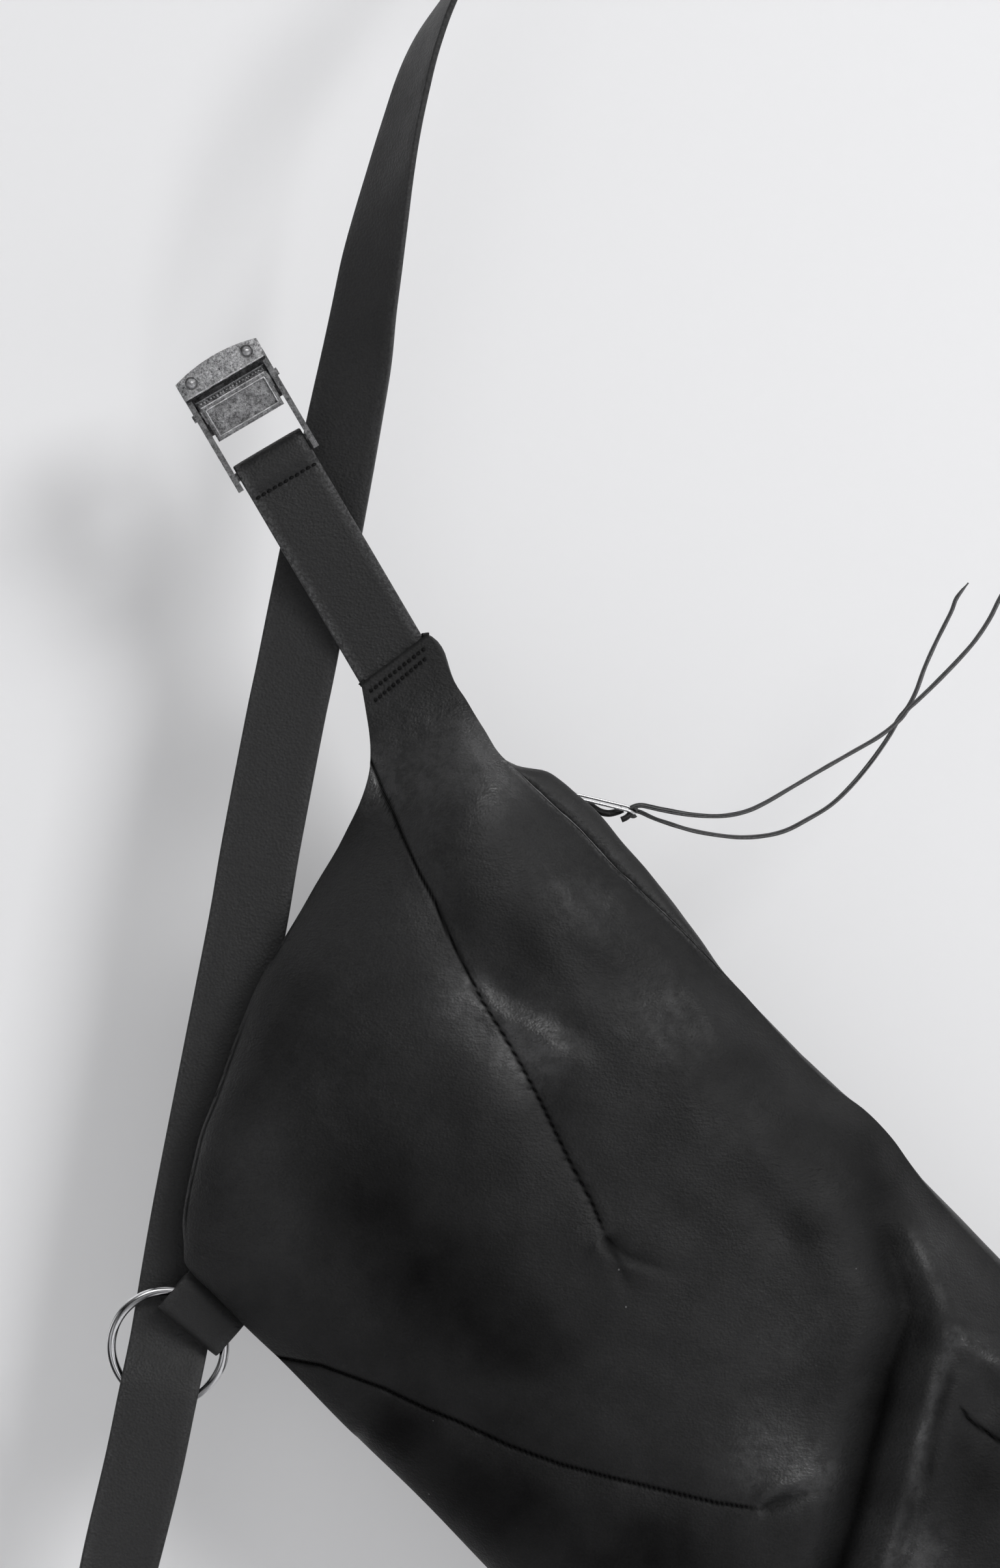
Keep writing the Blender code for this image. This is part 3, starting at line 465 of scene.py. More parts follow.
def front_surface(along, down):
    """The panel's y, how creased it is as painted shade, and where it is seen (x, z)."""
    y = front_base(along, down)
    point = world(along, down, y)
    x, z = seen(point[..., 0], y, point[..., 2])
    parts = [relief(x, z) for relief in RELIEFS]
    height = sum(part[0] for part in parts)
    crease_shade = np.clip(sum(part[1] for part in parts), 0, 1)
    edge = pillow(along, down)
    # a short groove beside the lower seam, with painted shade in it
    away = np.maximum(lower_seam(along) - down, 0) / lower_seam_stretch(along)
    groove = bell(away - 1.4, 0.42) * span(along, start=-232, rise=12, end=-180, fall=10)
    crease_shade = np.maximum(crease_shade * smooth(edge / 6), 0.5 * groove)
    keep = smooth(edge / 30) * (0.25 + 0.75 * smooth((down - top_seam(along)) / 10))
    return y + 0.45 * groove - height * keep, crease_shade, x, z


def patches(x, z, base, spots, lines):
    value = np.full(x.shape, base)
    for at_x, at_z, radius, change in spots:
        value += change * bell(np.hypot(x - at_x, z - at_z), radius)
    for line, width, change in lines:
        value += change * bell(to_line(x, z, line)[0], width)
    return value


def tone_and_painted_light(x, z):
    # painted highlights and painted shade from the spots and lines, then random tone from noise
    value = patches(x, z, 1.0, PAINTED_LIGHT_AND_SHADE_SPOTS, PAINTED_SHADE_LINES)
    value += 0.09 * noise_b(x / 14 + 2, z / 14) + 0.06 * noise_c(x / 6 + 8, z / 6)
    return np.clip(value, 0.22, 3.2)


def shines(x, z):
    return np.clip(patches(x, z, 0.06, SHINE_SPOTS, SHINE_LINES), 0.0, 1.2)


def back_surface(along, down):
    lift = smooth(pillow(along, down) / 62)
    wave = (0.5 * noise_b(along / 40 + 3, down / 40 + 9)
            + 0.25 * noise_c(along / 15 + 3, down / 15))
    return BACK_RIM_Y * (1 - lift) - 0.35 * lift + wave * lift * 0.5


# -------------------------------------------------------------------- mesh tools
def add_object(name, mesh, material):
    ob = bpy.data.objects.new(name, mesh)
    bpy.context.scene.collection.objects.link(ob)
    mesh.materials.append(material)
    return ob


def make(name, points, faces, material, attributes=None, smooth_shade=True, angle=None):
    """Mesh object; `angle` in degrees marks sharper edges as sharp."""
    mesh = bpy.data.meshes.new(name)
    mesh.from_pydata((np.asarray(points, float) * MM).tolist(), [], faces)
    mesh.update()
    for key, values in (attributes or {}).items():
        layer = mesh.attributes.new(key, "FLOAT", "POINT")
        layer.data.foreach_set("value", np.asarray(values, np.float32))
    ob = add_object(name, mesh, material)
    if smooth_shade:
        mesh.shade_smooth()
    if angle:
        mesh.set_sharp_from_angle(angle=math.radians(angle))
    return ob


def make_solid(*args, **looks):
    """Closed mesh object with its normals turned outwards."""
    ob = make(*args, **looks)
    bm = bmesh.new()
    bm.from_mesh(ob.data)
    bmesh.ops.recalc_face_normals(bm, faces=bm.faces)
    bm.to_mesh(ob.data)
    bm.free()
    return ob


def grid_faces(rows, columns):
    """Quads over a grid of points numbered row by row."""
    return [(i * columns + j, (i + 1) * columns + j, (i + 1) * columns + j + 1,
             i * columns + j + 1) for i in range(rows - 1) for j in range(columns - 1)]


def solid_faces(rings, sides, closed=False, base=0):
    """Faces round a stack of rings, capped unless the stack closes on itself."""
    faces = []
    for i in range(rings if closed else rings - 1):
        here, after = base + i * sides, base + ((i + 1) % rings) * sides
        for j in range(sides):
            turn = (j + 1) % sides
            faces.append((here + j, here + turn, after + turn, after + j))
    if not closed:
        faces.append(tuple(range(base, base + sides))[::-1])
        faces.append(tuple(range(base + (rings - 1) * sides, base + rings * sides)))
    return faces


def sheet(name, points, material, attributes=None):
    """Open sheet over a grid of points (rows, columns, 3)."""
    faces = grid_faces(*points.shape[:2])
    return make(name, points.reshape(-1, 3), faces, material, attributes)


def tube(name, rings, material, attributes=None, closed=False, angle=None):
    """Solid through a stack of rings (count, sides, 3)."""
    faces = solid_faces(*rings.shape[:2], closed=closed)
    return make_solid(name, rings.reshape(-1, 3), faces, material, attributes, angle=angle)


def face_towards(ob, direction):
    if sum(float(np.dot(np.array(p.normal), direction)) for p in ob.data.polygons) < 0:
        ob.data.flip_normals()


def thicken(ob, thickness, offset=-1):
    modifier = ob.modifiers.new("thickness", "SOLIDIFY")
    modifier.thickness = thickness * MM
    modifier.offset = offset


def register(ob, body="bag", replaces=None):
    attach(ob, body)
    if replaces:
        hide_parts(replaces)


def repaint(node, material):
    materials = NODES[node].data.materials
    materials.clear()
    materials.append(material)


def bevel(node, material, width, segments):
    """Keep a CAD piece, with a new material and rounded edges."""
    repaint(node, material)
    modifier = NODES[node].modifiers.new("edges", "BEVEL")
    modifier.width = width * MM
    modifier.segments = segments
    modifier.limit_method = "ANGLE"
    modifier.angle_limit = math.radians(40)


def tangents(points):
    return unit(np.gradient(points, axis=0))


def lengths_along(points):
    steps = np.linalg.norm(np.diff(points, axis=0), axis=1)
    return np.concatenate([[0], np.cumsum(steps)])


def sample(points, lengths, wanted):
    return np.stack([np.interp(wanted, lengths, column) for column in points.T], 1)


def through(points, count):
    """Smooth (Catmull-Rom) curve through the points."""
    points = np.array(points, float)
    last = len(points) - 1
    stations = np.linspace(0, last, count)
    i = np.minimum(stations.astype(int), last - 1)
    part = (stations - i)[:, None]
    before, start, end, after = [points[np.clip(i + k, 0, last)] for k in (-1, 0, 1, 2)]
    return 0.5 * (2 * start + (end - before) * part
                  + (2 * before - 5 * start + 4 * end - after) * part**2
                  + (3 * start - before - 3 * end + after) * part**3)


def even(points, step):
    """The same curve with points an even distance apart."""
    lengths = lengths_along(points)
    return sample(points, lengths, np.linspace(0, lengths[-1], int(lengths[-1] / step)))


def strap_section(width, thick, corner, crown=0.12):
    """Strap outline: rounded edges, crowned faces. Columns: across, out, on the edge."""
    half, half_thick = width / 2, thick / 2
    outline = []
    for side, face, start in ((1, 1, 0), (-1, 1, 90), (-1, -1, 180), (1, -1, 270)):
        for angle in np.radians(start + np.linspace(0, 90, 5)):
            outline.append((side * (half - corner) + corner * math.cos(angle),
                            face * (half_thick - corner) + corner * math.sin(angle), 1.0))
        if side == face:
            for share in (0.5, 0.0, -0.5):
                outline.append((face * share * half * 1.4, face * (half_thick + crown), 0.0))
    return np.array(outline)


def lay_section(centres, wides, outs, section, width=1.0, thick=1.0):
    """Rings of a section at each centre, scaled by width and thick."""
    return (centres[:, None] + wides[:, None] * (section[None, :, 0:1] * width)
            + outs[:, None] * (section[None, :, 1:2] * thick))


def strap(name, centres, wides, material, width, thick, corner, ripple, seed=5):
    """Strap along a path; `wides` points across it, one vector or one for each centre."""
    wides = np.broadcast_to(wides, centres.shape)
    outs = unit(np.cross(wides, tangents(centres)))
    section = strap_section(width, thick, corner)
    rings = lay_section(centres, wides, outs, section)
    uneven = value_noise(seed)
    lift = ripple * uneven(lengths_along(centres)[:, None] / 21, section[None, :, 0] / 11 + 3)
    rings += outs[:, None] * (lift * (section[:, 2] < 0.5))[..., None]
    return tube(name, rings, material, {"edge": np.tile(section[:, 2], len(centres))})


def circles(centres, first, second, radius, sides):
    """Circles round the centres, in the planes of the first and second directions."""
    first, second = (np.broadcast_to(way, centres.shape)[:, None] for way in (first, second))
    radius = np.broadcast_to(radius, len(centres))[:, None, None]
    angles = np.linspace(0, 2 * math.pi, sides, endpoint=False)[None, :, None]
    return centres[:, None] + (first * np.cos(angles) + second * np.sin(angles)) * radius


def round_wire(name, points, radius, material, sides, closed=False):
    """Wire of round section; the radius may be given for each point."""
    if closed:
        ways = unit(np.roll(points, -1, 0) - np.roll(points, 1, 0))
    else:
        ways = tangents(points)
    reference = BACKWARD
    if abs(ways @ reference).max() > 0.95:
        reference = np.array([0.3, 0.2, 0.93])
    side = unit(np.cross(ways, reference))
    rings = circles(points, side, np.cross(side, ways), radius, sides)
    return tube(name, rings, material, closed=closed)


def stitches(name, starts, ends, radius, dip):
    """Short raised threads from each start to each end, their tips sunk into the leather."""
    stations, sides = 7, 8
    shares = np.linspace(0, 1, stations)[:, None]
    rise = dip * (np.sin(math.pi * shares) - 0.35)
    radii = radius * (0.35 + 0.65 * np.sin(math.pi * np.clip(shares[:, 0], 0.06, 0.94)) ** 0.5)
    rings, faces = [], []
    for start, end in zip(starts, ends):
        way = unit(end - start)
        normal = unit(-BACKWARD + way * BACKWARD.dot(way))
        centres = start + (end - start) * shares + normal * rise
        faces += solid_faces(stations, sides, base=len(rings) * stations * sides)
        rings.append(circles(centres, np.cross(way, normal), normal, radii, sides))
    return make_solid(name, np.array(rings).reshape(-1, 3), faces, M_THREAD)


# --------------------------------------------------------------------- materials
class Shader:
    """Adds nodes to one tree. An input takes a plain value or another node's output."""

    def __init__(self, tree, coordinates="Object"):
        self.tree = tree
        self.place = self.add("ShaderNodeTexCoord").outputs[coordinates]

    def feed(self, node, inputs):
        for key, value in inputs.items():
            if isinstance(value, bpy.types.NodeSocket):
                self.tree.links.new(value, node.inputs[key])
            else:
                node.inputs[key].default_value = value

    def add(self, kind, inputs=None):
        node = self.tree.nodes.new(kind)
        self.feed(node, inputs or {})
        return node

    def principled(self, inputs):
        self.feed(self.tree.nodes["Principled BSDF"], inputs)

    def math(self, operation, first, second):
        node = self.add("ShaderNodeMath", {0: first, 1: second})
        node.operation = operation
        return node.outputs[0]

    def plus(self, first, second):
        return self.math("ADD", first, second)

    def times(self, first, second):
        return self.math("MULTIPLY", first, second)

    def remap(self, value, from_low, from_high, low, high):
        return self.add("ShaderNodeMapRange", {
            "Value": value, "From Min": from_low, "From Max": from_high,
            "To Min": low, "To Max": high}).outputs["Result"]

    def vary(self, noise, low, high):
        """Spread the usual range of a noise from low to high."""
        return self.remap(noise, 0.3, 0.7, low, high)

    def mapped(self, inputs):
        inputs = {"Vector": self.place, **inputs}
        return self.add("ShaderNodeMapping", inputs).outputs["Vector"]

    def noise(self, scale, detail=2.0, rough=0.5, turn=None, stretch=None):
        place = self.place
        if turn:
            place = self.mapped({"Rotation": turn, "Scale": stretch})
        return self.add("ShaderNodeTexNoise", {
            "Vector": place, "Scale": scale, "Detail": detail,
            "Roughness": rough}).outputs["Fac"]

    def cells(self, scale):
        return self.add("ShaderNodeTexVoronoi", {
            "Vector": self.place, "Scale": scale}).outputs["Distance"]

    def attribute(self, name):
        node = self.add("ShaderNodeAttribute")
        node.attribute_name = name
        return node.outputs["Fac"]

    def axes(self, vector):
        return self.add("ShaderNodeSeparateXYZ", {0: vector}).outputs

    def grey(self, value):
        """Grey with a trace of blue."""
        channels = {i: self.times(value, k) for i, k in enumerate((1.0, 1.0, 1.015))}
        return self.add("ShaderNodeCombineColor", channels).outputs["Color"]

    def ramp(self, factor, stops):
        """Colour ramp from stops of (position, colour)."""
        node = self.add("ShaderNodeValToRGB", {"Fac": factor})
        elements = node.color_ramp.elements
        while len(elements) < len(stops):
            elements.new(0.5)
        # all positions are set before any colour
        for element, (position, _) in zip(elements, stops):
            element.position = position
        for element, (_, colour) in zip(elements, stops):
            element.color = colour
        return node.outputs["Color"]

    def bump(self, height, strength, distance, **below):
        """Bumped normal; `Normal` may give the one it lies on."""
        return self.add("ShaderNodeBump", {
            "Height": height, "Strength": strength, "Distance": distance,
            **below}).outputs["Normal"]


def new_material(name):
    material = bpy.data.materials.new(name)
    material.use_nodes = True
    return material, Shader(material.node_tree)


def leather(name, tone, rough=0.5, grain=1500.0, grain_bump=0.35, variation=0.35, specks=0.0,
            edge_tone=0.05, wrinkles=0.25, painted_light_and_polish=False):
    """Dyed hide. The last flag reads the tone, crease and shine attributes of the front panel:
    painted highlights and shade in the colour, painted shade in the creases, and polish.
    """
    material, shader = new_material(name)
    plus, times, noise = shader.plus, shader.times, shader.noise
    broad = noise(scale=9.0)
    middle = noise(scale=70.0, detail=4.0, rough=0.6)
    fine = noise(scale=grain * 1.25, rough=0.7)
    pores = shader.cells(scale=grain)
    lines = noise(scale=240.0, detail=5.0, rough=0.65, turn=(0.0, 0.75, 0.0),
                  stretch=(1.0, 1.0, 2.6))

    # colour: base tone, slow cloudy change, grain, painted highlights and shade, painted shade
    # in the creases, raw edge, dust
    shade = plus(shader.vary(broad, 1 - variation * 0.5, 1 + variation * 0.5),
                 shader.vary(middle, -variation * 0.28, variation * 0.28))
    shade = times(shade, shader.vary(fine, 0.7, 1.3))
    shade = times(shade, tone)
    if painted_light_and_polish:
        # painted highlights and shade from the tone attribute, and painted shade from the
        # crease attribute
        shade = times(shade, shader.attribute("tone"))
        shade = times(shade, shader.remap(shader.attribute("crease_shade"), 0.0, 0.9, 1.0, 0.1))
    if edge_tone:
        worn = shader.remap(noise(scale=800.0, detail=3.0, rough=0.7), 0.42, 0.66, 0.1, 1.0)
        shade = plus(shade, times(times(shader.attribute("edge"), worn), edge_tone))
    if specks:
        dot = shader.math("LESS_THAN", shader.cells(scale=75.0), 0.028)
        some = shader.math("GREATER_THAN", noise(scale=31.0, detail=0.0), 0.56)
        shade = plus(shade, times(times(dot, some), specks))

    # roughness follows the clouds and the grain
    dull = plus(shader.vary(middle, rough - 0.08, rough + 0.09),
                shader.vary(fine, -0.05, 0.07))
    shader.principled({"Specular IOR Level": 0.42})
    if painted_light_and_polish:
        # duller in the creases, polished in patches where handled; the painted tone and the
        # painted crease shade also scale the specular level
        dull = plus(dull, times(shader.attribute("crease_shade"), 0.4))
        broken = shader.remap(noise(scale=210.0, detail=5.0, rough=0.7), 0.38, 0.62, 0.35, 1.25)
        polish = times(shader.attribute("shine"), broken)
        dull = shader.math("SUBTRACT", dull, times(polish, 0.13))
        level = shader.remap(polish, 0.0, 1.0, 0.27, 0.85)
        level = times(level, shader.remap(shader.attribute("crease_shade"), 0.0, 0.8, 1.0, 0.05))
        level = times(level, shader.remap(shader.attribute("tone"), 0.3, 1.3, 0.2, 1.25))
        shader.principled({"Specular IOR Level": level})

    creased = shader.bump(lines, strength=wrinkles, distance=0.0012)
    height = plus(times(pores, 0.7), times(fine, 0.5))
    shader.principled({
        "Base Color": shader.grey(shade),
        "Roughness": shader.math("MAXIMUM", dull, 0.2),
        "Normal": shader.bump(height, strength=grain_bump, distance=0.0003, Normal=creased)})
    return material


def aged_metal(name, tone, rough, bump, dark, mottle=0.25, scale=900):
    """Mottled metal, from `dark` and rougher to `tone` and smoother."""
    material, shader = new_material(name)
    patch = shader.noise(scale=scale, detail=6.0, rough=0.72)
    fine = shader.noise(scale=scale * 3.3, detail=3.0, rough=0.75)
    mixed = shader.plus(shader.times(patch, 0.6), shader.times(fine, 0.4))
    cloud = shader.remap(shader.noise(scale=190.0), 0.36, 0.62, 0.72, 1.12)
    shade = shader.times(shader.remap(mixed, 0.39, 0.61, dark, tone), cloud)
    shader.principled({
        "Metallic": 1.0,
        "Base Color": shader.grey(shade),
        "Roughness": shader.remap(mixed, 0.35, 0.65, rough + mottle, rough),
        "Normal": shader.bump(mixed, strength=bump, distance=0.0004)})
    return material


# painted reflections: light and dark bands over the reflected direction, painted into the
# colour: (position, brightness)
PAINTED_REFLECTION_BANDS = [(0.0, 0.05), (0.12, 0.9), (0.2, 0.9), (0.27, 0.07), (0.38, 0.5),
                   (0.45, 1.0), (0.63, 1.0), (0.69, 0.06), (0.8, 0.95), (0.95, 0.1)]


def polished_metal(name, tone, rough, painted_reflections):
    """Bright metal with fine scratches; the last flag paints light and dark reflected bands
    into its colour.
    """
    material, shader = new_material(name)
    patch = shader.noise(scale=700.0, detail=6.0, rough=0.72)
    scratch = shader.noise(scale=2600.0, rough=0.6, turn=(0.4, 0.3, 0.9),
                           stretch=(1.0, 0.12, 1.0))
    shade = shader.vary(patch, tone * 0.85, tone)
    if painted_reflections:
        # painted reflection: the colour follows the reflected direction
        way = shader.axes(shader.add("ShaderNodeTexCoord").outputs["Reflection"])
        mixed = shader.plus(shader.times(way["X"], 0.45), shader.times(way["Z"], 0.35))
        stops = [(position, (value, value, value, 1)) for position, value in PAINTED_REFLECTION_BANDS]
        shade = shader.times(shader.ramp(shader.plus(mixed, 0.5), stops), shade)
    shader.principled({
        "Metallic": 1.0,
        "Base Color": shader.grey(shade),
        "Roughness": shader.remap(scratch, 0.35, 0.65, rough * 0.7, rough * 1.5)})
    return material


def cloth(name, tone, pitch):
    """Two crossing sets of threads."""
    material, shader = new_material(name)
    waves = [shader.add("ShaderNodeTexWave", {
        "Vector": shader.mapped({"Rotation": (0, turn, 0)}),
        "Scale": pitch / 6.0, "Distortion": 0.6}).outputs["Fac"] for turn in (0.8, -0.77)]
    weave = shader.times(*waves)
    soft = shader.vary(shader.noise(scale=120.0, detail=3.0), 0.5, 0.9)
    shader.principled({
        "Base Color": shader.grey(shader.times(
            shader.plus(shader.times(weave, 0.8), soft), tone)),
        "Roughness": 0.9,
        "Sheen Weight": 0.3,
        "Normal": shader.bump(weave, strength=0.6, distance=0.0003)})
    return material


def thread(name, tone):
    material, shader = new_material(name)
    twist = shader.noise(scale=3200.0, rough=0.6, turn=(0.5, 0.6, 0.2),
                         stretch=(1.0, 1.0, 0.2))
    shader.principled({
        "Base Color": shader.grey(shader.vary(twist, tone * 0.5, tone * 2.6)),
        "Roughness": 0.6,
        "Specular IOR Level": 0.22,
        "Normal": shader.bump(twist, strength=0.7, distance=0.0003)})
    return material


M_FRONT = leather("nappa_front", tone=0.0115, rough=0.48, grain=950, grain_bump=0.6,
                  specks=0.10, wrinkles=0.35, painted_light_and_polish=True)
M_BACK = leather("nappa_back", tone=0.011, specks=0.05)
M_FACING = leather("nappa_facing", tone=0.012, grain=1400, specks=0.1, wrinkles=0.35,
                   edge_tone=0.06)
M_STRAP = leather("strap_hide", tone=0.0195, rough=0.56, grain=900, grain_bump=0.75,
                  variation=0.25, wrinkles=0.15, edge_tone=0.02)
M_NECK = leather("neck_hide", tone=0.0135, grain=900, grain_bump=0.8, variation=0.25,
                 wrinkles=0.4, edge_tone=0.07)
M_TAB = leather("tab_hide", tone=0.0155, rough=0.55, grain=1300, grain_bump=0.4,
                wrinkles=0.3, edge_tone=0.02)
M_LACE = leather("lace_hide", tone=0.075, rough=0.55, grain=900, grain_bump=0.6,
                 variation=0.5, wrinkles=0.6, edge_tone=0.04)
M_THREAD = thread("black_thread", tone=0.0028)
# a darker copy of the lace for the knot and its folds: painted shade
M_LACE_SHADED = leather("lace_hide_shaded", tone=0.02, grain=900, grain_bump=0.6, variation=0.8,
                 wrinkles=0.8)
M_RAW = leather("raw_edge_hide", tone=0.10, rough=0.7, variation=1.4, wrinkles=0.6,
                edge_tone=0)
M_AGED = aged_metal("aged_nickel", tone=0.74, rough=0.27, bump=0.6, dark=0.07)
M_PEBBLE = aged_metal("aged_nickel_pebbled", tone=0.52, rough=0.34, bump=0.9, dark=0.08,
                      scale=850)
M_CHROME = polished_metal("polished_nickel", tone=0.97, rough=0.09, painted_reflections=True)
M_SHINY = polished_metal("polished_wire", tone=0.9, rough=0.32, painted_reflections=False)
M_RAIL = aged_metal("aged_nickel_dark", tone=0.4, rough=0.3, bump=0.5, dark=0.07, scale=420)
# near-black nickel: painted shade for the gap under the bridge
M_SHADE_NICKEL = aged_metal("nickel_painted_shade", tone=0.1, rough=0.5, bump=0.5, dark=0.02, mottle=0.2,
                   scale=800)
M_BRIGHT = aged_metal("worn_nickel", tone=0.95, rough=0.25, bump=0.3, dark=0.35, mottle=0.1)
M_ZIP = aged_metal("zip_nickel", tone=0.5, rough=0.3, bump=0.1, dark=0.3, mottle=0.1)
M_CLOTH = cloth("lining_weave", tone=0.03, pitch=1500)
M_TAPE = cloth("zip_tape_weave", tone=0.02, pitch=2600)


# ------------------------------------------------------------------------ panels
def columns(count):
    """Shares from the top seam to the lower one, closer together near both."""
    share = np.linspace(0, 1, count)
    return 0.5 - 0.5 * np.cos(math.pi * (0.06 + 0.88 * share)) / math.cos(math.pi * 0.06)


def panel_rows(fine_to, fine, coarse, shares, shift):
    """Grid of `along`: fine rows, then coarse ones; `shift` slants the first rows."""
    first = np.arange(PANEL_START, fine_to, fine)
    rest = np.linspace(fine_to, PANEL_END, int((PANEL_END - fine_to) / coarse))
    rows = np.concatenate([first, rest])[:, None]
    return rows + shift * (1 - shares)[None] * (1 - smooth((rows - rows[0]) / 30))


def grid_bmesh(points, turned=False):
    """Bmesh over a grid of points; `turned` winds the faces the other way."""
    bm = bmesh.new()
    verts = [bm.verts.new(point) for point in points.reshape(-1, 3)]
    for quad in grid_faces(*points.shape[:2]):
        order = (quad[0], *quad[:0:-1]) if turned else quad
        bm.faces.new([verts[k] for k in order])
    return bm


def turn_rim_under(bm, steps, way):
    """Extrude the rim step by step: (inset, shift in y), the shift times `way`."""
    rim = [edge for edge in bm.edges if edge.is_boundary]
    for inset, shift in steps:
        made = bmesh.ops.extrude_edge_only(bm, edges=rim)["geom"]
        rim = [item for item in made if isinstance(item, bmesh.types.BMEdge)]
        moves = {}
        for vert in (item for item in made if isinstance(item, bmesh.types.BMVert)):
            beside = [edge for edge in vert.link_edges if edge.is_boundary]
            if len(beside) != 2:
                continue
            run = beside[0].other_vert(vert).co - beside[1].other_vert(vert).co
            side = Vector((run.z, 0, -run.x)).normalized()
            # a point well inside the outline, another for the part near the neck
            at_neck = vert.co.x < -0.06 and vert.co.z > 0.2
            inside = Vector((-0.10, 0, 0.22) if at_neck else (-0.02, 0, 0.03))
            if side.dot(inside - Vector((vert.co.x, 0, vert.co.z))) < 0:
                side = -side
            moves[vert] = side * (inset * MM) + Vector((0, way * shift * MM, 0))
        for vert, move in moves.items():
            vert.co += move


def finish_panel(bm, name, material, facing, thickness, replaces):
    """`facing` is the sign of y that the outside looks along."""
    bm.normal_update()
    if sum(face.normal.y * face.calc_area() for face in bm.faces) * facing < 0:
        bmesh.ops.reverse_faces(bm, faces=bm.faces)
    mesh = bpy.data.meshes.new(name)
    bm.to_mesh(mesh)
    bm.free()
    ob = add_object(name, mesh, material)
    mesh.shade_smooth()
    thicken(ob, thickness)
    register(ob, replaces=replaces)


# where edges are divided, one entry for each round: distance from darts and puckers; the
# large fold's least and greatest side, distance and least share; distance from neck rows
REFINING = [(8.0, (-14, 22, 24, -math.inf), 5.0), (2.8, (-2.4, 4.0, 9, 0.2), 3.6)]


def build_front():
    shares = columns(132)
    along = panel_rows(fine_to=110, fine=1.5, coarse=3.0, shares=shares, shift=4.0)
    top = top_seam(along)
    down = top + (lower_seam(along) - top) * shares
    bm = grid_bmesh(np.stack([along, down, 0 * along], -1))
    lines = [dart.line for dart in DARTS] + [pucker[-1] for pucker in PUCKERS]
    for reach, (side_low, side_high, fold_reach, share_low), neck_reach in REFINING:
        along, down, _ = np.array([vert.co for vert in bm.verts], float).T
        y = front_base(along, down)
        point = world(along, down, y)
        x, z = seen(point[:, 0], y, point[:, 2])
        near = np.zeros(len(along), bool)
        for line in lines:
            near |= to_line(x, z, line)[0] < reach
        gap, side, share = to_line(x, z, LARGE_FOLD)
        near |= ((side > side_low) & (side < side_high) & (gap < fold_reach)
                 & (share > share_low))
        near |= to_line(x, z, [(-134.4, 264.6), (-110.4, 283.6)])[0] < neck_reach
        bm.verts.ensure_lookup_table()
        chosen = [edge for edge in bm.edges
                  if near[edge.verts[0].index] and near[edge.verts[1].index]]
        bmesh.ops.subdivide_edges(bm, edges=chosen, cuts=1, use_grid_fill=True)
        bm.verts.index_update()
    along, down, _ = np.array([vert.co for vert in bm.verts], float).T
    y, crease_shade, x, z = front_surface(along, down)
    # raw edge line along the top seam, from the neck to where the facing goes under
    edge = bell(down - top_seam(along) - 0.6, 0.55)
    edge *= smooth((along + 240) / 15) * (1 - smooth((along + 125) / 20))
    for vert, point in zip(bm.verts, world(along, down, y)):
        vert.co = point * MM
    # the tone attribute carries painted highlights and shade besides random tone; the crease
    # attribute carries painted shade in the creases
    looks = {"edge": edge, "crease_shade": crease_shade, "tone": tone_and_painted_light(x, z), "shine": shines(x, z)}
    for key, values in looks.items():
        layer = bm.verts.layers.float.new(key)
        for vert, value in zip(bm.verts, values):
            vert[layer] = value
    turn_rim_under(bm, [(0.15, 0.9), (0.55, 1.0), (1.1, 0.9), (1.4, 0.4)], way=1)
    finish_panel(bm, "bag_front", M_FRONT, facing=-1, thickness=1.3, replaces="front_panel")


def build_back():
    shares = columns(60)
    along = panel_rows(fine_to=100, fine=3.0, coarse=4.0, shares=shares, shift=3.2)
    # the back layer shows past the neck's right corner
    top = top_seam(along) - 1.5 * bell(along + 277, 7)
    down = top + (lower_seam(along) - top) * shares
    at_zip = zip_window(along) * bell(shares, 0.1)
    y = back_surface(along, down) * (1 - at_zip) + BACK_RIM_AT_ZIP_Y * at_zip
    bm = grid_bmesh(world(along, down, y) * MM, turned=True)
    # the rim turns forward to meet the front panel's
    turn_rim_under(bm, [(0.15, 0.9), (0.6, 1.1), (1.2, 0.7)], way=-1)
    finish_panel(bm, "bag_back", M_BACK, facing=1, thickness=1.2, replaces="back_panel")


def build_facing():
    """The roll of leather above the front rim that hides the zip from the front."""
    along, share = np.meshgrid(np.arange(-235, 150.1, 2.0), np.linspace(0, 1, 26),
                               indexing="ij")
    start_y = rim_y(zip_window(along)) + 0.2
    y = start_y + (-20.6 - start_y) * share
    rim = top_seam(along)
    ends = span(along, start=-236, rise=20, end=151, fall=14)
    reach = -111.6 * ends + (rim + 0.8) * (1 - ends)
    base = rim + 0.15 + (reach - 0.15 - rim) * share
    proud = np.maximum(rim - facing_edge(along), 67.2 + 0.6 * rim)
    roll = np.sin(math.pi * share) ** 0.55 * (0.96 + 0.08 * noise_a(along / 16, share * 3))
    down = base - ((proud + 0.9) * ends - 0.6 * (1 - ends)) * roll
    ob = sheet("zip_facing_roll", world(along, down, y), M_FACING,
               {"edge": bell(share, 0.06).ravel() * 0.5})
    face_towards(ob, world(0, -1, 0))
    thicken(ob, 1.1)
    register(ob, replaces="zip_facing")


def build_raw_edge():
    """The cut edge of the front leather, pale where the dye didn't take."""
    start, end = -229.0, -107.0
    along = np.arange(start, end, 0.6)
    uneven = value_noise(77)
    down = top_seam(along) - 0.05 + 0.15 * uneven(along / 5, 0.0)
    y = front_surface(along, np.maximum(down, top_seam(along)))[0] - 0.12
    size = 0.55 + 0.55 * uneven(along / 2.3, 4.4)
    size *= span(along, start=start, rise=12, end=end, fall=10)
    ob = round_wire("raw_edge_line", world(along, down, y), 0.34 * np.clip(size, 0.12, 1.1),
                    M_RAW, sides=8)
    register(ob)


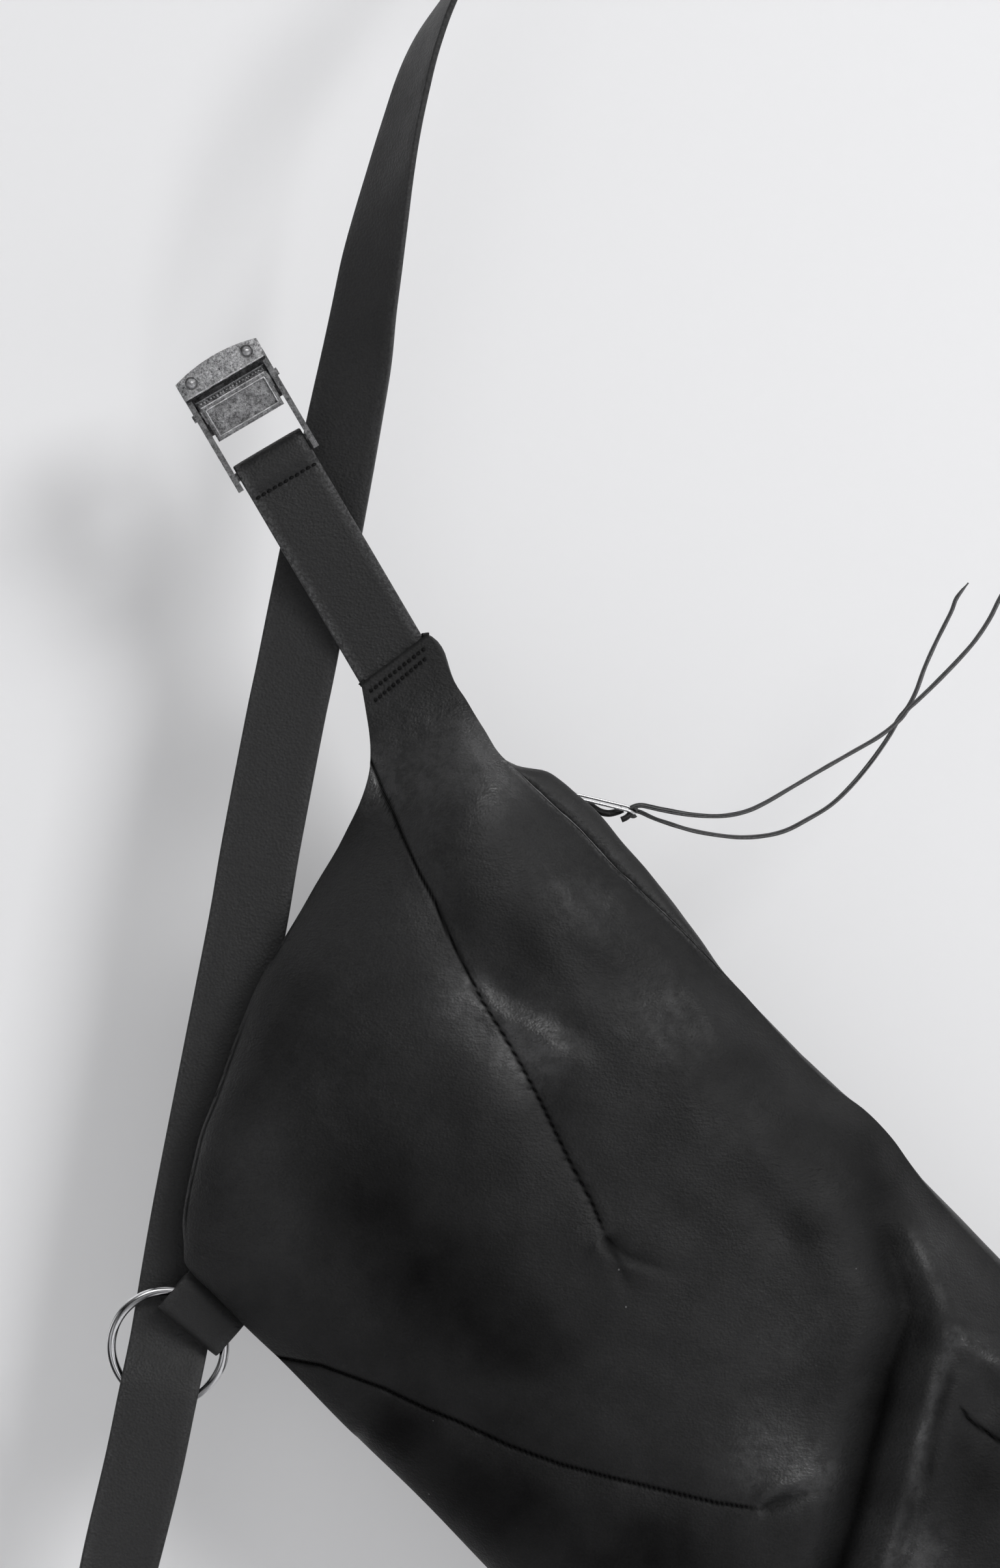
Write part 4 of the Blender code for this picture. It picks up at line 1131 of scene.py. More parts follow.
def build_seam_wall(name, start, end, top):
    """Leather between the front and back layers along a seam, a little inside the rims."""
    along, share = np.meshgrid(np.arange(start, end + 0.1, 1.5), np.linspace(0, 1, 14),
                               indexing="ij")
    window = zip_window(along) if top else 0.0 * along
    front_y = rim_y(window) + 1.0
    back_y = BACK_RIM_Y * (1 - window) + BACK_RIM_AT_ZIP_Y * window - 0.7
    y = front_y + (back_y - front_y) * share
    arch = np.sin(math.pi * share)
    sag = (0.8 + (1.1 + 1.0 * window) * arch**0.8
           + 0.25 * noise_b(along / 9, share * 2 + 4) * arch)
    if top:
        down = top_seam(along) + sag
        down = np.where((along > -216) & (along < 151.5), np.maximum(down, -109.9), down)
    else:
        down = lower_seam(along) - sag * lower_seam_stretch(along)
    ob = sheet(name, world(along, down, y), M_FACING)
    face_towards(ob, world(0, -1 if top else 1, 0))
    thicken(ob, 0.8)
    register(ob)


def build_lining(name, node, surface, gap, inset=3.6):
    """Thin cloth that hangs a little slack inside one of the leather panels."""
    shares = columns(56)
    along = np.linspace(-283.0, 232.0, 130)[:, None] + 0 * shares
    top, low = top_seam(along) + inset, lower_seam(along) - inset
    down = top + (low - top) * shares
    slack = (0.5 * noise_b(along / 17 + 1, down / 17 + 4)
             + 0.25 * noise_c(along / 7, down / 9 + 2))
    y = surface(along, down) + gap + slack * 0.6
    ob = sheet(name, world(along, down, y), M_CLOTH)
    thicken(ob, 0.4, offset=0)
    register(ob, replaces=node)


# --------------------------------------------------------------------------- zip
def build_zip_teeth(name, side, node):
    """One row of teeth; side -1 is the front row, 1 the back row, half a pitch on."""
    pitch = 1.7
    # a wide foot on the tape and a narrower nose: (along, towards the other row)
    outline = np.array([(-0.42, 0.25), (0.42, 0.25), (0.42, 1.2), (0.3, 1.6), (-0.3, 1.6),
                        (-0.42, 1.2)])
    y = ZIP_Y + side * (1.75 - outline[:, 1])
    rings, faces = [], []
    for start in np.arange(-210.6 + (pitch / 2 if side > 0 else 0), 145.4, pitch):
        faces += solid_faces(2, len(outline), base=len(rings) * len(outline))
        for lift in (-0.2, -1.5):
            rings.append(world(start + outline[:, 0], ZIP_DOWN + lift - 0.15, y))
    ob = make_solid(name, np.concatenate(rings), faces, M_ZIP, smooth_shade=False)
    register(ob, replaces=node)


def build_zip():
    for node in ("zip_tape_front", "zip_tape_back"):
        repaint(node, M_TAPE)
    for node in ("zip_top_stop", "zip_bottom_stop"):
        bevel(node, M_ZIP, width=0.25, segments=2)
    bevel("zip_slider_body", M_ZIP, width=0.7, segments=3)
    bevel("zip_slider_bridge", M_ZIP, width=0.25, segments=2)
    build_zip_teeth("zip_teeth_row_front", -1, "zip_teeth_front")
    build_zip_teeth("zip_teeth_row_back", 1, "zip_teeth_back")


# ---------------------------------------------------------------- puller and lace
PULL_DROP = TILT - math.radians(32.5)    # the puller's slope below level, to the right
PULL = np.array([math.cos(PULL_DROP), 0, -math.sin(PULL_DROP)])
PULL_UP = np.array([-PULL[2], 0, PULL[0]])
PULL_PIVOT = world(-203.7, -117.6, ZIP_Y)
LACE_AT = PULL_PIVOT + PULL * 26.6

# puller frame with a rounded tail and a hooked end: (along the pull, back, up)
PULLER_LOOP = [
    (0.3, 0.0, 0.0), (0.9, 2.9, 0.55), (1.8, 3.7, 0.68), (8, 3.7, 0.72), (16, 3.7, 0.72),
    (23.0, 3.7, 0.7), (24.8, 3.6, 0.5), (25.9, 3.3, 0.0), (26.5, 2.4, -0.7),
    (26.7, 1.0, -1.15), (26.7, -1.0, -1.35), (26.6, -2.4, -1.35), (26.1, -3.3, -1.15),
    (25.0, -3.6, -0.9), (23.0, -3.7, -0.76), (16, -3.7, -0.72), (8, -3.7, -0.72),
    (1.8, -3.7, -0.68), (0.9, -2.9, -0.55), (0.3, 0.0, 0.0)]

# the two tails of the lace: (x, z)
LACE_A = [
    (-32.8, 222.6), (-31.0, 223.4), (-28.6, 223.7), (-25.0, 223.0), (-20.5, 222.0),
    (-9.5, 220.1), (1.5, 219.6), (10.5, 221.1), (18.3, 224.4), (29.3, 230.8), (40.5, 237.4),
    (51.5, 243.7), (62.5, 250.1), (70.2, 256.3), (73.8, 260.8), (77.0, 263.7), (83.8, 270.2),
    (92.5, 279.1), (99.3, 286.9), (104.8, 295.1), (109, 303.4), (114, 312), (118, 318)]
LACE_B = [
    (-32.8, 221.7), (-31.0, 221.6), (-28.6, 220.9), (-25.0, 219.2), (-20.8, 217.6),
    (-9.5, 214.1), (1.5, 212.1), (10.5, 211.4), (19.3, 212.1), (27.0, 214.1), (34.8, 218.1),
    (43.8, 223.6), (51.5, 230.8), (59.3, 240.1), (66.0, 249.6), (70.2, 256.9), (73.7, 261.4),
    (77.0, 267.8), (80.3, 276.9), (84.8, 286.9), (90.3, 297.9), (92.5, 303.4), (97, 309.2)]


def build_puller():
    loop = PULL_PIVOT + np.array(PULLER_LOOP) @ np.array([PULL, BACKWARD, PULL_UP])
    wire = round_wire("puller_wire", even(through(loop, 600), 0.55)[:-1], 0.6, M_SHINY,
                      sides=16, closed=True)
    register(wire, "puller", "zip_puller")


def build_lace_tail(name, line, side, node, width, seed):
    """A twisting tail of lace; side -1 lies in front of the zip's plane, 1 behind it."""
    near, far = side * 2.2, side * 3.6
    points = []
    for i, (x, z) in enumerate(line):
        if i > 2:
            off = near + (far - near) * i / (len(line) - 1)
        else:
            # the tails spread from the puller's end
            off = near * (0.35 + 0.22 * i)
        points.append((x, ZIP_Y + off, z))
    centres = even(through(points, 400), 0.9)
    ways = tangents(centres)
    flat = unit(np.cross(ways, BACKWARD))
    uneven = value_noise(seed)
    station = np.arange(len(centres))
    to_end = len(centres) - station
    turn = np.radians(38 + 46 * uneven(station / 38, 0.5))[:, None]
    wides = BACKWARD * np.cos(turn) + flat * np.sin(turn)
    widths = width * (1 + 0.10 * uneven(station / 9, 3.5)) * np.clip(to_end / 9.0, 0.25, 1)
    thicks = 1.15 * (1 + 0.15 * uneven(station / 6, 7.5)) * np.clip(to_end / 5.0, 0.5, 1)
    section = strap_section(1.0, 1.0, corner=0.32, crown=0.0)
    rings = lay_section(centres, wides, np.cross(wides, ways), section,
                        widths[:, None, None], thicks[:, None, None])
    ob = tube(name, rings, M_LACE, {"edge": np.tile(section[:, 2], len(centres))})
    register(ob, "lace", node)


def build_lace_fold(name, line, start_y, end_y, width, thick, seed, body):
    """A short folded piece of lace along a line of (x, z)."""
    y = np.linspace(start_y, end_y, len(line))
    points = [(x, depth, z) for (x, z), depth in zip(line, y)]
    centres = even(through(points, 200), 0.5)
    flat = unit(np.cross(tangents(centres), BACKWARD))
    ob = strap(name, centres, flat, M_LACE_SHADED, width, thick, corner=0.5, ripple=0.25, seed=seed)
    register(ob, body)


def build_lace():
    build_lace_tail("lace_cord_a", LACE_A, -1, "lace_tail_a", width=2.0, seed=4)
    build_lace_tail("lace_cord_b", LACE_B, 1, "lace_tail_b", width=1.75, seed=9)
    # the loop round the puller's hooked end
    angle = np.radians(np.linspace(-150, 150, 25))[:, None]
    loop = (LACE_AT + PULL * (-0.2 - np.cos(angle) * 1.6)
            + PULL_UP * (-1.0 - np.sin(angle) * 1.7))
    bight = strap("lace_bight", loop, BACKWARD, M_LACE_SHADED, width=4.6, thick=1.2, corner=0.45,
                  ripple=0.2)
    register(bight, "lace", "lace_knot")
    build_lace_fold("lace_fold_inner", [(-49.6, 224.6), (-48.2, 223.6), (-44.8, 221.4),
                                        (-41.3, 220.6), (-38.0, 221.3), (-35.9, 222.2)],
                    ZIP_Y - 0.4, ZIP_Y, width=2.7, thick=2.2, seed=31, body="puller")
    build_lace_fold("lace_fold_tip", [(-32.2, 221.9), (-33.2, 220.3), (-34.6, 219.0),
                                      (-36.4, 218.2)],
                    ZIP_Y - 2.2, ZIP_Y - 2.6, width=2.3, thick=1.6, seed=37, body="lace")


# --------------------------------------------------------------------- neck strap
ACROSS = unit(np.array([0.862, 0, 0.507]))    # across the neck strap and buckle
UPWARD = unit(np.array([-0.507, 0, 0.862]))   # along them, away from the bag
NECK = np.array([-125.0, 0, 279.9])
RAIL_START = 84.4                             # where the buckle's rails begin, up from NECK
BAR_UP, BAR_Y = 5.4, -15.0                    # the bar that the strap folds round
FOLD_RADIUS = 3.35                            # from the bar's middle to the strap's middle

# side view of the neck strap, from the bag to where it nears the bar: (up, y)
NECK_PROFILE = [
    (-97, -10.4), (-90, -10.2), (-84, -10.1), (-78, -10.2), (-72, -10.6), (-62, -11.4),
    (-45, -13.2), (-28, -14.8), (-14, -15.6), (-9.5, -15.7), (-6.6, -15.5), (-5.3, -15.4),
    (-4.0, -15.9), (-2.2, -17.1), (0, -18.2), (3, BAR_Y - FOLD_RADIUS - 0.1)]
# and from the bar back down behind itself
NECK_RETURN = [(2.5, BAR_Y + FOLD_RADIUS - 0.3), (-1.0, BAR_Y + 2.3), (-4.2, -13.4),
               (-6.2, -13.2), (-9.5, -13.0)]


def buckle(x, up, y):
    """Points in the CAD frame from the buckle's axes; each may be an array."""
    outer = np.multiply.outer
    return NECK + outer(x, ACROSS) + outer(RAIL_START + up, UPWARD) + outer(y, BACKWARD)


def build_neck_strap():
    bend = np.radians(np.linspace(-90, 90, 13))
    round_bar = np.stack([BAR_UP + FOLD_RADIUS * np.cos(bend),
                          BAR_Y + FOLD_RADIUS * np.sin(bend)], 1)
    up, y = np.concatenate([NECK_PROFILE, round_bar, NECK_RETURN]).T
    centres = even(through(buckle(0, up, y), 900), 0.7)
    ob = strap("neck_strap_hide", centres, ACROSS, M_NECK, width=29.8, thick=2.2, corner=0.7,
               ripple=0.10)
    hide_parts("neck_strap", "neck_strap_sewn_end")
    tuple(buckle(0, -86.0, -10) * MM)
    tuple(buckle(0, -70.0, -10) * MM)
    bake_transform(ob)


def build_fold_stitches():
    """A row across the neck strap, below the fold round the bar."""
    middles, way = stitch_middles(buckle(-13.6, -5.3, -16.65), buckle(13.6, -5.3, -16.65), 11)
    middles[:, 2] += np.random.default_rng(24).uniform(-0.14, 0.14, len(middles))
    half = way * 1.9 / 2
    ob = stitches("fold_stitches", middles - half, middles + half, radius=0.62, dip=0.4)
    register(ob, "neck")


# --------------------------------------------------------------------- long strap
STRAP_Y, STRAP_WIDTH = -2.6, 30.5
RUN = np.array([0.2, 0, 0.98])       # the strap's run above the ring

# twist in degrees above the ring: (z, twist)
UPPER_TWIST = [
    (-30, 0), (130, 0), (271, 3), (321, 8), (347, 13), (373, 20), (395, 27), (412, 35),
    (433, 41), (447, 47), (465, 55), (485, 62), (504, 67), (518, 73), (533, 82), (550, 88),
    (570, 90), (700, 90)]
# path above the ring: (x, z)
UPPER_PATH = [
    (-210.2, 17.6), (-202, 66), (-190.2, 126.5), (-180, 178.6), (-175, 207.9), (-165.4, 258),
    (-162.4, 272), (-157.5, 296.6), (-152.5, 321.5), (-142.5, 373), (-138.2, 395),
    (-135.5, 412.4), (-132, 433), (-129.2, 447), (-125.5, 464.6), (-121.5, 482),
    (-116, 502.4), (-110.7, 517), (-102.4, 532.9), (-92.5, 548.5), (-80, 563), (-66, 575.5),
    (-52, 586), (-38, 596.5), (-24, 607)]
# path from the ring down and round below the bag: (x, y, z)
LOWER_PATH = [
    (-211.0, -3.6, 13.6), (-213.0, -7.3, 4.0), (-215.5, -8.6, -8), (-220.5, -8.7, -32),
    (-229.5, -8.6, -69), (-236, -9.5, -100), (-238, -13, -140), (-227, -18, -185),
    (-196, -20, -228), (-145, -20, -262), (-80, -20, -283), (-10, -20, -292),
    (60, -20, -292), (125, -20, -284), (178, -18, -263), (209, -16, -232), (214, -13, -202),
    (200, -10.5, -180), (187, -10.1, -170), (180.4, -10.1, -163.2), (176.0, -10.1, -158.7)]
# twist in degrees along the lower path, whose whole length counts as 57: (place, twist)
LOWER_TWIST = [(0, 0), (9, 0), (13, 25), (18, 75), (21, 90), (38, 90), (42, 75), (47, 25),
               (51, 0), (57, 0)]


def build_long_strap():
    twist_at = curve(UPPER_TWIST)
    upper = through([(x, 0, z) for x, z in UPPER_PATH], 700)
    upper_turn = twist_at(upper[:, 2])
    upper[:, 1] = STRAP_Y - STRAP_WIDTH / 2 * 0.75 * np.sin(np.radians(upper_turn))
    lower = through(LOWER_PATH, 1100)
    places, twists = np.array(LOWER_TWIST, float).T
    lower_turn = np.interp(np.linspace(0, places[-1], len(lower)), places, twists)
    lower_turn = np.convolve(np.pad(lower_turn, 40, mode="edge"), np.ones(81) / 81, "valid")
    # one path from the far end of the lower part through the ring to the top
    path = np.concatenate([lower[::-1], upper])
    turn = np.concatenate([lower_turn[::-1], upper_turn])
    lengths = lengths_along(path)
    wanted = np.arange(0, lengths[-1], 2.2)
    path = sample(path, lengths, wanted)
    turn = np.radians(np.interp(wanted, lengths, turn))[:, None]
    for _ in range(6):
        path[1:-1] = (path[:-2] + 2 * path[1:-1] + path[2:]) / 4
    flat = np.gradient(path, axis=0)
    flat[:, 1] = 0
    flat = unit(flat)
    across = np.stack([flat[:, 2], np.zeros(len(path)), -flat[:, 0]], 1)
    # the strap twists one way below the ring and the other way above it
    way = np.where(wanted < lengths[len(lower) - 1], 1.0, -1.0)[:, None]
    wides = across * np.cos(turn) + BACKWARD * np.sin(turn) * way
    ob = strap("long_strap_hide", path, wides, M_STRAP, width=STRAP_WIDTH - 0.2, thick=2.5,
               corner=0.8, ripple=0.10, seed=17)
    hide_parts("long_strap_upper", "long_strap_lower")
    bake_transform(ob)


# ------------------------------------------------------------------- ring and tab
RING = np.array([-210.6, -6.7, 15.8])
RING_RADIUS, RING_WIRE = 21.8, 1.8
RING_LEAN = math.radians(9.5)        # the ring's top leans forward
RING_ACROSS = unit(np.array([0.98, 0, -0.2]))
RING_UP = unit(RUN) * math.cos(RING_LEAN) - BACKWARD * math.sin(RING_LEAN)
RING_AXIS = np.cross(RING_ACROSS, RING_UP)
TAB_THICK = 1.2
TAB_EDGE = np.array([-203.4, 0, 21.6])


def build_ring():
    angle = np.linspace(0, 2 * math.pi, 120, endpoint=False)[:, None]
    outward = RING_ACROSS * np.cos(angle) + RING_UP * np.sin(angle)
    rings = circles(RING + outward * RING_RADIUS, outward, RING_AXIS, RING_WIRE, sides=20)
    ob = tube("o_ring_polished", rings, M_CHROME, closed=True)
    register(ob, "ring", "o_ring")


def build_tab():
    """Leather folded round the ring's wire, its sides in the ring's plane."""
    def onto_ring(way):
        return unit(way - RING_AXIS * way.dot(RING_AXIS))

    out = onto_ring(np.array([-0.654, 0, -0.756]))
    wide = onto_ring(np.array([0.756, 0, -0.654]))
    edge = TAB_EDGE + BACKWARD * ((RING - TAB_EDGE).dot(RING_AXIS) / BACKWARD.dot(RING_AXIS))
    gap = RING_WIRE + 0.45 + TAB_THICK / 2
    # side view: (in from the folded edge, off the ring's plane)
    bend = np.radians(np.linspace(90, -90, 9))
    profile = np.concatenate([
        [(21.5, -0.6), (18.6, 0.4), (16.4, 1.7), (13.5, gap - 0.05), (10.0, gap), (5.0, gap)],
        np.stack([gap + 0.6 - gap * np.cos(bend), gap * np.sin(bend)], 1),
        [(5.0, -gap), (10.0, -gap), (13.5, -gap + 0.1), (17.0, -2.4)]])
    centres = edge + profile @ np.array([-out, RING_AXIS])
    ob = strap("ring_tab_hide", even(through(centres, 500), 0.7), wide, M_TAB, width=29.6,
               thick=TAB_THICK, corner=0.45, ripple=0.12, seed=23)
    register(ob, replaces="ring_tab")


# ------------------------------------------------------------------- cam buckle
PIN_UP, PIN_Y = 32.9, -16.0
LEVER_HALF = 15.2                    # half the lever's width at its nose
PLATE_HALF = LEVER_HALF - 0.75
LEVER_LOW, LEVER_STEP, LEVER_TOP = 20.6, 35.0, 37.95
NOSE_RADIUS = 5.1


def nose_y(up):
    """The round front of the nose."""
    return PIN_Y - np.sqrt(np.maximum(NOSE_RADIUS**2 - (up - PIN_UP) ** 2, 0.02))


def paint_buckle():
    bevel("cam_frame", M_RAIL, width=0.45, segments=3)
    bevel("cam_bridge", M_AGED, width=0.35, segments=3)
    for node in ("cam_rivet_left", "cam_rivet_right"):
        repaint(node, M_BRIGHT)
    for node in ("cam_pivot_pin", "cam_strap_bar"):
        repaint(node, M_AGED)
    repaint("cam_spring", M_ZIP)


def lever_plate():
    """Bevelled border round a recessed pebbled field; above it a step and a toothed nose."""
    side, up = np.meshgrid(np.linspace(-1, 1, 150), np.linspace(LEVER_LOW, LEVER_TOP, 96),
                           indexing="ij")
    nose = smooth((up - LEVER_STEP) / 0.35)
    half = PLATE_HALF + 0.65 * nose
    x = side * half
    above_low = up - LEVER_LOW
    inward = np.minimum(np.minimum(PLATE_HALF - np.abs(x), above_low), LEVER_STEP - up)
    recess = smooth((inward - 1.45) / 0.35)
    from_rim = np.minimum(np.minimum(half - np.abs(x), above_low), LEVER_TOP - up)
    edge_round = 1 - smooth(from_rim / 0.8)
    pebbles = 0.05 * noise_a(x * 1.9, up * 1.9) + 0.04 * noise_c(x * 4.1, up * 4.1)
    field_y = (PIN_Y - 5.2 + 0.75 * recess - 0.3 * smooth((inward - 2.2) / 5)
               + pebbles * recess)
    teeth = (np.abs(np.sin(x * 2.3 + 0.6 * np.sin(up * 3.0))) * 0.5
             + 0.5 * np.abs(np.sin(up * 2.2 + 0.7 * noise_b(x * 0.8, up))))
    toothed_y = (nose_y(up) + 0.6 * (1 - teeth) + 0.15 * (1 + noise_b(x * 2.6, up * 2.6))
                 + 0.4 * bell(up - 35.4, 0.22))
    front_y = field_y * (1 - nose) + toothed_y * nose + 0.45 * edge_round
    back_y = np.maximum(PIN_Y - 3.3 + 4.0 * smooth((up - 34.0) / 3.0), front_y + 0.35)
    points = np.stack([buckle(x, up, front_y), buckle(x, up, back_y)]).reshape(-1, 3)
    count = x.size
    faces = []
    for quad in grid_faces(*x.shape):
        faces.append(quad)
        faces.append(tuple(k + count for k in quad[::-1]))
    index = np.arange(count).reshape(x.shape)
    border = np.concatenate([index[:, 0], index[-1, 1:], index[-2::-1, -1],
                             index[0, -2::-1]]).tolist()
    for here, after in zip(border, border[1:]):
        faces.append((here + count, after + count, after, here))
    return make_solid("cam_lever_plate", points, faces, M_PEBBLE, angle=62)


def build_lever():
    plate = lever_plate()
    # the round part behind, that turns on the pin
    x = np.linspace(-LEVER_HALF + 0.2, LEVER_HALF - 0.2, 40)
    rings = circles(buckle(x, PIN_UP, PIN_Y), UPWARD, -BACKWARD, 4.3, sides=64)
    drum = tube("cam_lever_drum", rings, M_AGED, angle=60)
    # worn bright edges: round the field, along the step and over the teeth
    inner = PLATE_HALF - 1.55
    corners = np.array([(-inner, 33.4), (inner, 33.4), (inner, 22.2), (-inner, 22.2),
                        (-inner, 33.4)])
    x, up = np.concatenate([np.linspace(*ends, 24, endpoint=False)
                            for ends in zip(corners, corners[1:])]).T
    bead = round_wire("cam_lever_bead", buckle(x, up, PIN_Y - 5.12), 0.3, M_BRIGHT, sides=8,
                      closed=True)
    x = np.linspace(-LEVER_HALF + 0.9, LEVER_HALF - 0.9, 40)
    step = round_wire("cam_lever_step", buckle(x, 35.05, PIN_Y - 5.1), 0.3, M_BRIGHT, sides=8)
    x = np.linspace(-LEVER_HALF + 1.0, LEVER_HALF - 1.0, 220)
    up = 36.9 + 0.5 * np.sin(x * 4.4 + 0.8 * np.sin(x * 1.7))
    teeth = round_wire("cam_lever_teeth", buckle(x, up, nose_y(up) + 0.1), 0.26, M_BRIGHT,
                       sides=8)
    register(plate, "lever", "cam_lever")
    for ob in (drum, bead, step, teeth):
        register(ob, "lever")


def build_bridge_trim():
    """The bridge's lower lip, worn bright, a dark wire of painted shade under it, and the
    raised beads round its rivets.
    """
    def bow(x):
        return 0.5 * (x / 15) ** 2

    uneven = value_noise(51)
    x = np.linspace(-17.2, 17.2, 60)
    line = buckle(x, 40.5 + 0.08 * uneven(x * 0.7, 1.5), -23.45 + bow(x))
    radii = 0.4 * (0.85 + 0.3 * np.abs(uneven(x * 0.9, 7.0)))
    pieces = [round_wire("cam_bridge_lip", line, radii, M_BRIGHT, sides=10),
              # the dark wire below and behind the lip is painted shade for the gap under the
              # bridge
              round_wire("cam_bridge_underside", line - UPWARD * 0.8 + BACKWARD * 0.55, 0.4,
                         M_SHADE_NICKEL, sides=10)]
    angle = np.linspace(0, 2 * math.pi, 40, endpoint=False)
    off_x, off_up = 2.3 * np.cos(angle), 2.3 * np.sin(angle)
    for name, x in (("left", -12.2), ("right", 12.2)):
        y = -23.5 + bow(x) + 0.033 * x / 12 * off_x
        pieces.append(round_wire("cam_rivet_bead_" + name, buckle(x + off_x, 45.2 + off_up, y),
                                 0.26, M_RAIL, sides=10, closed=True))
    for ob in pieces:
        register(ob, "buckle")


# ------------------------------------------------------------ stitches on the bag
def on_front(points, lift):
    """Points of the front panel that appear at the given (x, z), lifted towards the viewer."""
    wanted_x, wanted_z = points.T
    x, z = wanted_x, wanted_z
    for _ in range(6):
        along, down = bag_axes(x, z)
        seen_x, seen_z = seen(x, front_surface(along, down)[0], z)
        x, z = x + (wanted_x - seen_x), z + (wanted_z - seen_z)
    y = front_surface(*bag_axes(x, z))[0]
    return np.stack([x, y - lift, z], -1)


def build_neck_stitches():
    for name, row in zip(("neck_stitches_upper", "neck_stitches_lower"), NECK_ROWS):
        middles, way = stitch_middles(*row, NECK_STITCH_COUNT)
        middles += np.random.default_rng(19).uniform(-0.15, 0.15, middles.shape)
        half = way * 0.68
        ob = stitches(name, on_front(middles - half, 0.12), on_front(middles + half, 0.12),
                      radius=0.42, dip=0.25)
        register(ob)


def build_dart_threads():
    pitch, length = 2.4, 2.25
    for number, dart in enumerate(DARTS, 1):
        line = through(dart.line, 600)
        lengths = lengths_along(line)
        start, end = dart.thread
        wanted = np.arange(lengths[-1] * start, lengths[-1] * end, pitch)
        starts = sample(line, lengths, wanted)
        ends = sample(line, lengths, wanted + length)
        along, down = bag_axes(*ends.T)
        kept = ((down > top_seam(along) + 2.5) & (down < lower_seam(along) - 2.5)
                & (along > -284) & (along < 234))
        ob = stitches(f"dart_thread_{number}", on_front(starts[kept], -0.02),
                      on_front(ends[kept], -0.02), radius=0.12, dip=0.06)
        register(ob)


# ------------------------------------------------------------------------- stage
def paper():
    """Pale paper that glows more with height and is clear from behind."""
    material, shader = new_material("paper")
    glow = shader.remap(shader.axes(shader.place)["Z"], -0.32, -0.12, 0.03, 0.275)
    tone = shader.vary(shader.noise(scale=1.5), 0.595, 0.605)
    shader.principled({
        "Base Color": shader.grey(tone),
        "Roughness": 0.95,
        "Specular IOR Level": 0.1,
        "Emission Color": (1.0, 1.0, 1.01, 1.0),
        "Emission Strength": glow})
    nodes = shader.tree.nodes
    mix = shader.add("ShaderNodeMixShader", {
        0: shader.add("ShaderNodeNewGeometry").outputs["Backfacing"],
        1: nodes["Principled BSDF"].outputs[0],
        2: shader.add("ShaderNodeBsdfTransparent").outputs[0]})
    shader.feed(nodes["Material Output"], {"Surface": mix.outputs[0]})
    return material


def build_backdrop():
    """A floor that bends up into a wall behind the bag."""
    wall_y, floor_z, radius, half_width = 62.0, -330.0, 160.0, 7000.0
    bend = np.radians(np.linspace(-90, 0, 17))
    y = np.concatenate([[-9000, -4000, -1500], wall_y - radius + radius * np.cos(bend),
                        [wall_y, wall_y]])
    z = np.concatenate([[floor_z] * 3, floor_z + radius + radius * np.sin(bend),
                        [1200, 6000]])
    points = np.array([np.stack([0 * y + x, y, z], 1) for x in (-half_width, half_width)])
    sheet("backdrop", points, paper())


def area(name, place, target, size, energy):
    """Rectangular lamp, hidden from the camera; place, target and size in metres."""
    data = bpy.data.lights.new(name, "AREA")
    data.shape = "RECTANGLE"
    data.size, data.size_y = size
    data.energy = energy
    ob = bpy.data.objects.new(name, data)
    bpy.context.scene.collection.objects.link(ob)
    ob.location = place
    ob.rotation_mode = "QUATERNION"
    ob.rotation_quaternion = (Vector(target) - Vector(place)).to_track_quat("-Z", "Y")
    ob.visible_camera = False
    return ob


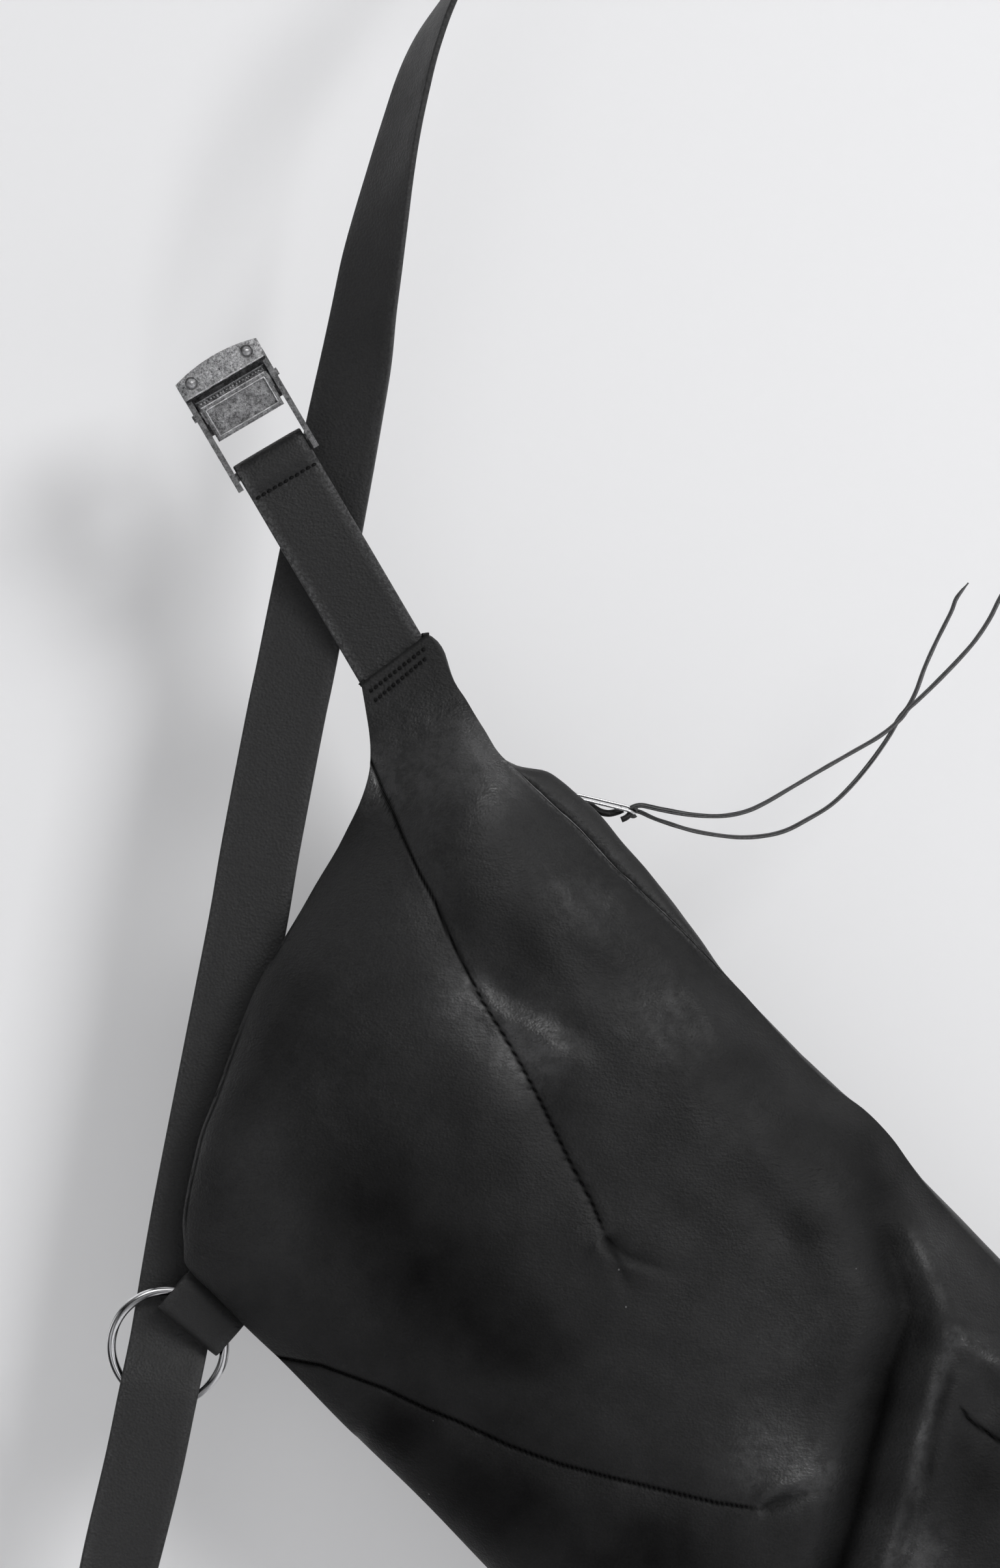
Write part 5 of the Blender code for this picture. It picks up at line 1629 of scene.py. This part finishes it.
def build_lights():
    key = area("key_softbox", place=(1.95, -2.4, 1.75), target=(-0.05, 0.0, 0.2),
               size=(1.15, 1.15), energy=88)
    fill = area("front_fill", place=(-1.2, -3.6, 0.9), target=(-0.05, 0.0, 0.2),
                size=(2.0, 2.0), energy=8)
    sheen = area("overhead_strip", place=(0.95, -2.6, 1.75), target=(-0.05, 0.0, 0.1),
                 size=(1.5, 0.9), energy=30)
    card = area("metal_card", place=(-0.7, -2.6, 1.9), target=(-0.15, 0.0, 0.1),
                size=(2.6, 1.7), energy=18)
    key.visible_glossy = fill.visible_glossy = False
    sheen.visible_diffuse = card.visible_diffuse = False
    # the card lights the bright metal only
    lit = bpy.data.collections.new("polished_metal")
    for name in ("o_ring_polished", "puller_wire", "cam_bridge_lip", "cam_lever_bead",
                 "cam_lever_step", "cam_lever_teeth", "cam_rivet_left", "cam_rivet_right"):
        lit.objects.link(bpy.data.objects[name])
    card.light_linking.receiver_collection = lit


def build_world():
    """Soft sky, brighter upwards and a little to the right."""
    sky = bpy.data.worlds.new("studio")
    bpy.context.scene.world = sky
    sky.use_nodes = True
    shader = Shader(sky.node_tree, coordinates="Generated")
    way = shader.axes(shader.place)
    lift = shader.plus(shader.times(way["Z"], 0.5), shader.times(way["X"], 0.12))
    colour = shader.ramp(shader.plus(lift, 0.5), [(0.3, (0.12, 0.12, 0.122, 1)),
                                                  (0.9, (0.95, 0.95, 0.96, 1))])
    shader.feed(sky.node_tree.nodes["Background"], {"Color": colour, "Strength": 0.31})


def build_camera():
    """Looks along +y, square to the upright plane through the seams."""
    data = bpy.data.cameras.new("camera")
    data.sensor_width = 36.0
    data.lens = data.sensor_width * CAMERA_DISTANCE / VIEW_WIDTH
    data.clip_end = 60.0
    camera = bpy.data.objects.new("camera", data)
    bpy.context.scene.collection.objects.link(camera)
    camera.location = (CAMERA_X * MM, (SEAM_PLANE_Y - CAMERA_DISTANCE) * MM, CAMERA_Z * MM)
    camera.rotation_euler = (math.radians(90), 0, 0)
    bpy.context.scene.camera = camera


# --------------------------------------------------------------- put it together
build_front()
build_back()
build_facing()
build_raw_edge()
build_seam_wall("seam_wall_zip_start", -284.0, -206.0, top=True)
build_seam_wall("seam_wall_zip_end", 141.0, 236.0, top=True)
build_seam_wall("seam_wall_lower", -287.0, 236.0, top=False)
build_lining("lining_front_cloth", "lining_front",
             lambda along, down: front_surface(along, down)[0], gap=2.6)
build_lining("lining_back_cloth", "lining_back", back_surface, gap=-2.3)
build_zip()
build_puller()
build_lace()
build_neck_strap()
build_fold_stitches()
build_long_strap()
build_ring()
build_tab()
paint_buckle()
build_lever()
build_bridge_trim()
build_neck_stitches()
build_dart_threads()
build_backdrop()
build_lights()
build_world()
bpy.context.scene.view_settings.view_transform = "Standard"
bpy.context.scene.view_settings.look = "None"
build_camera()
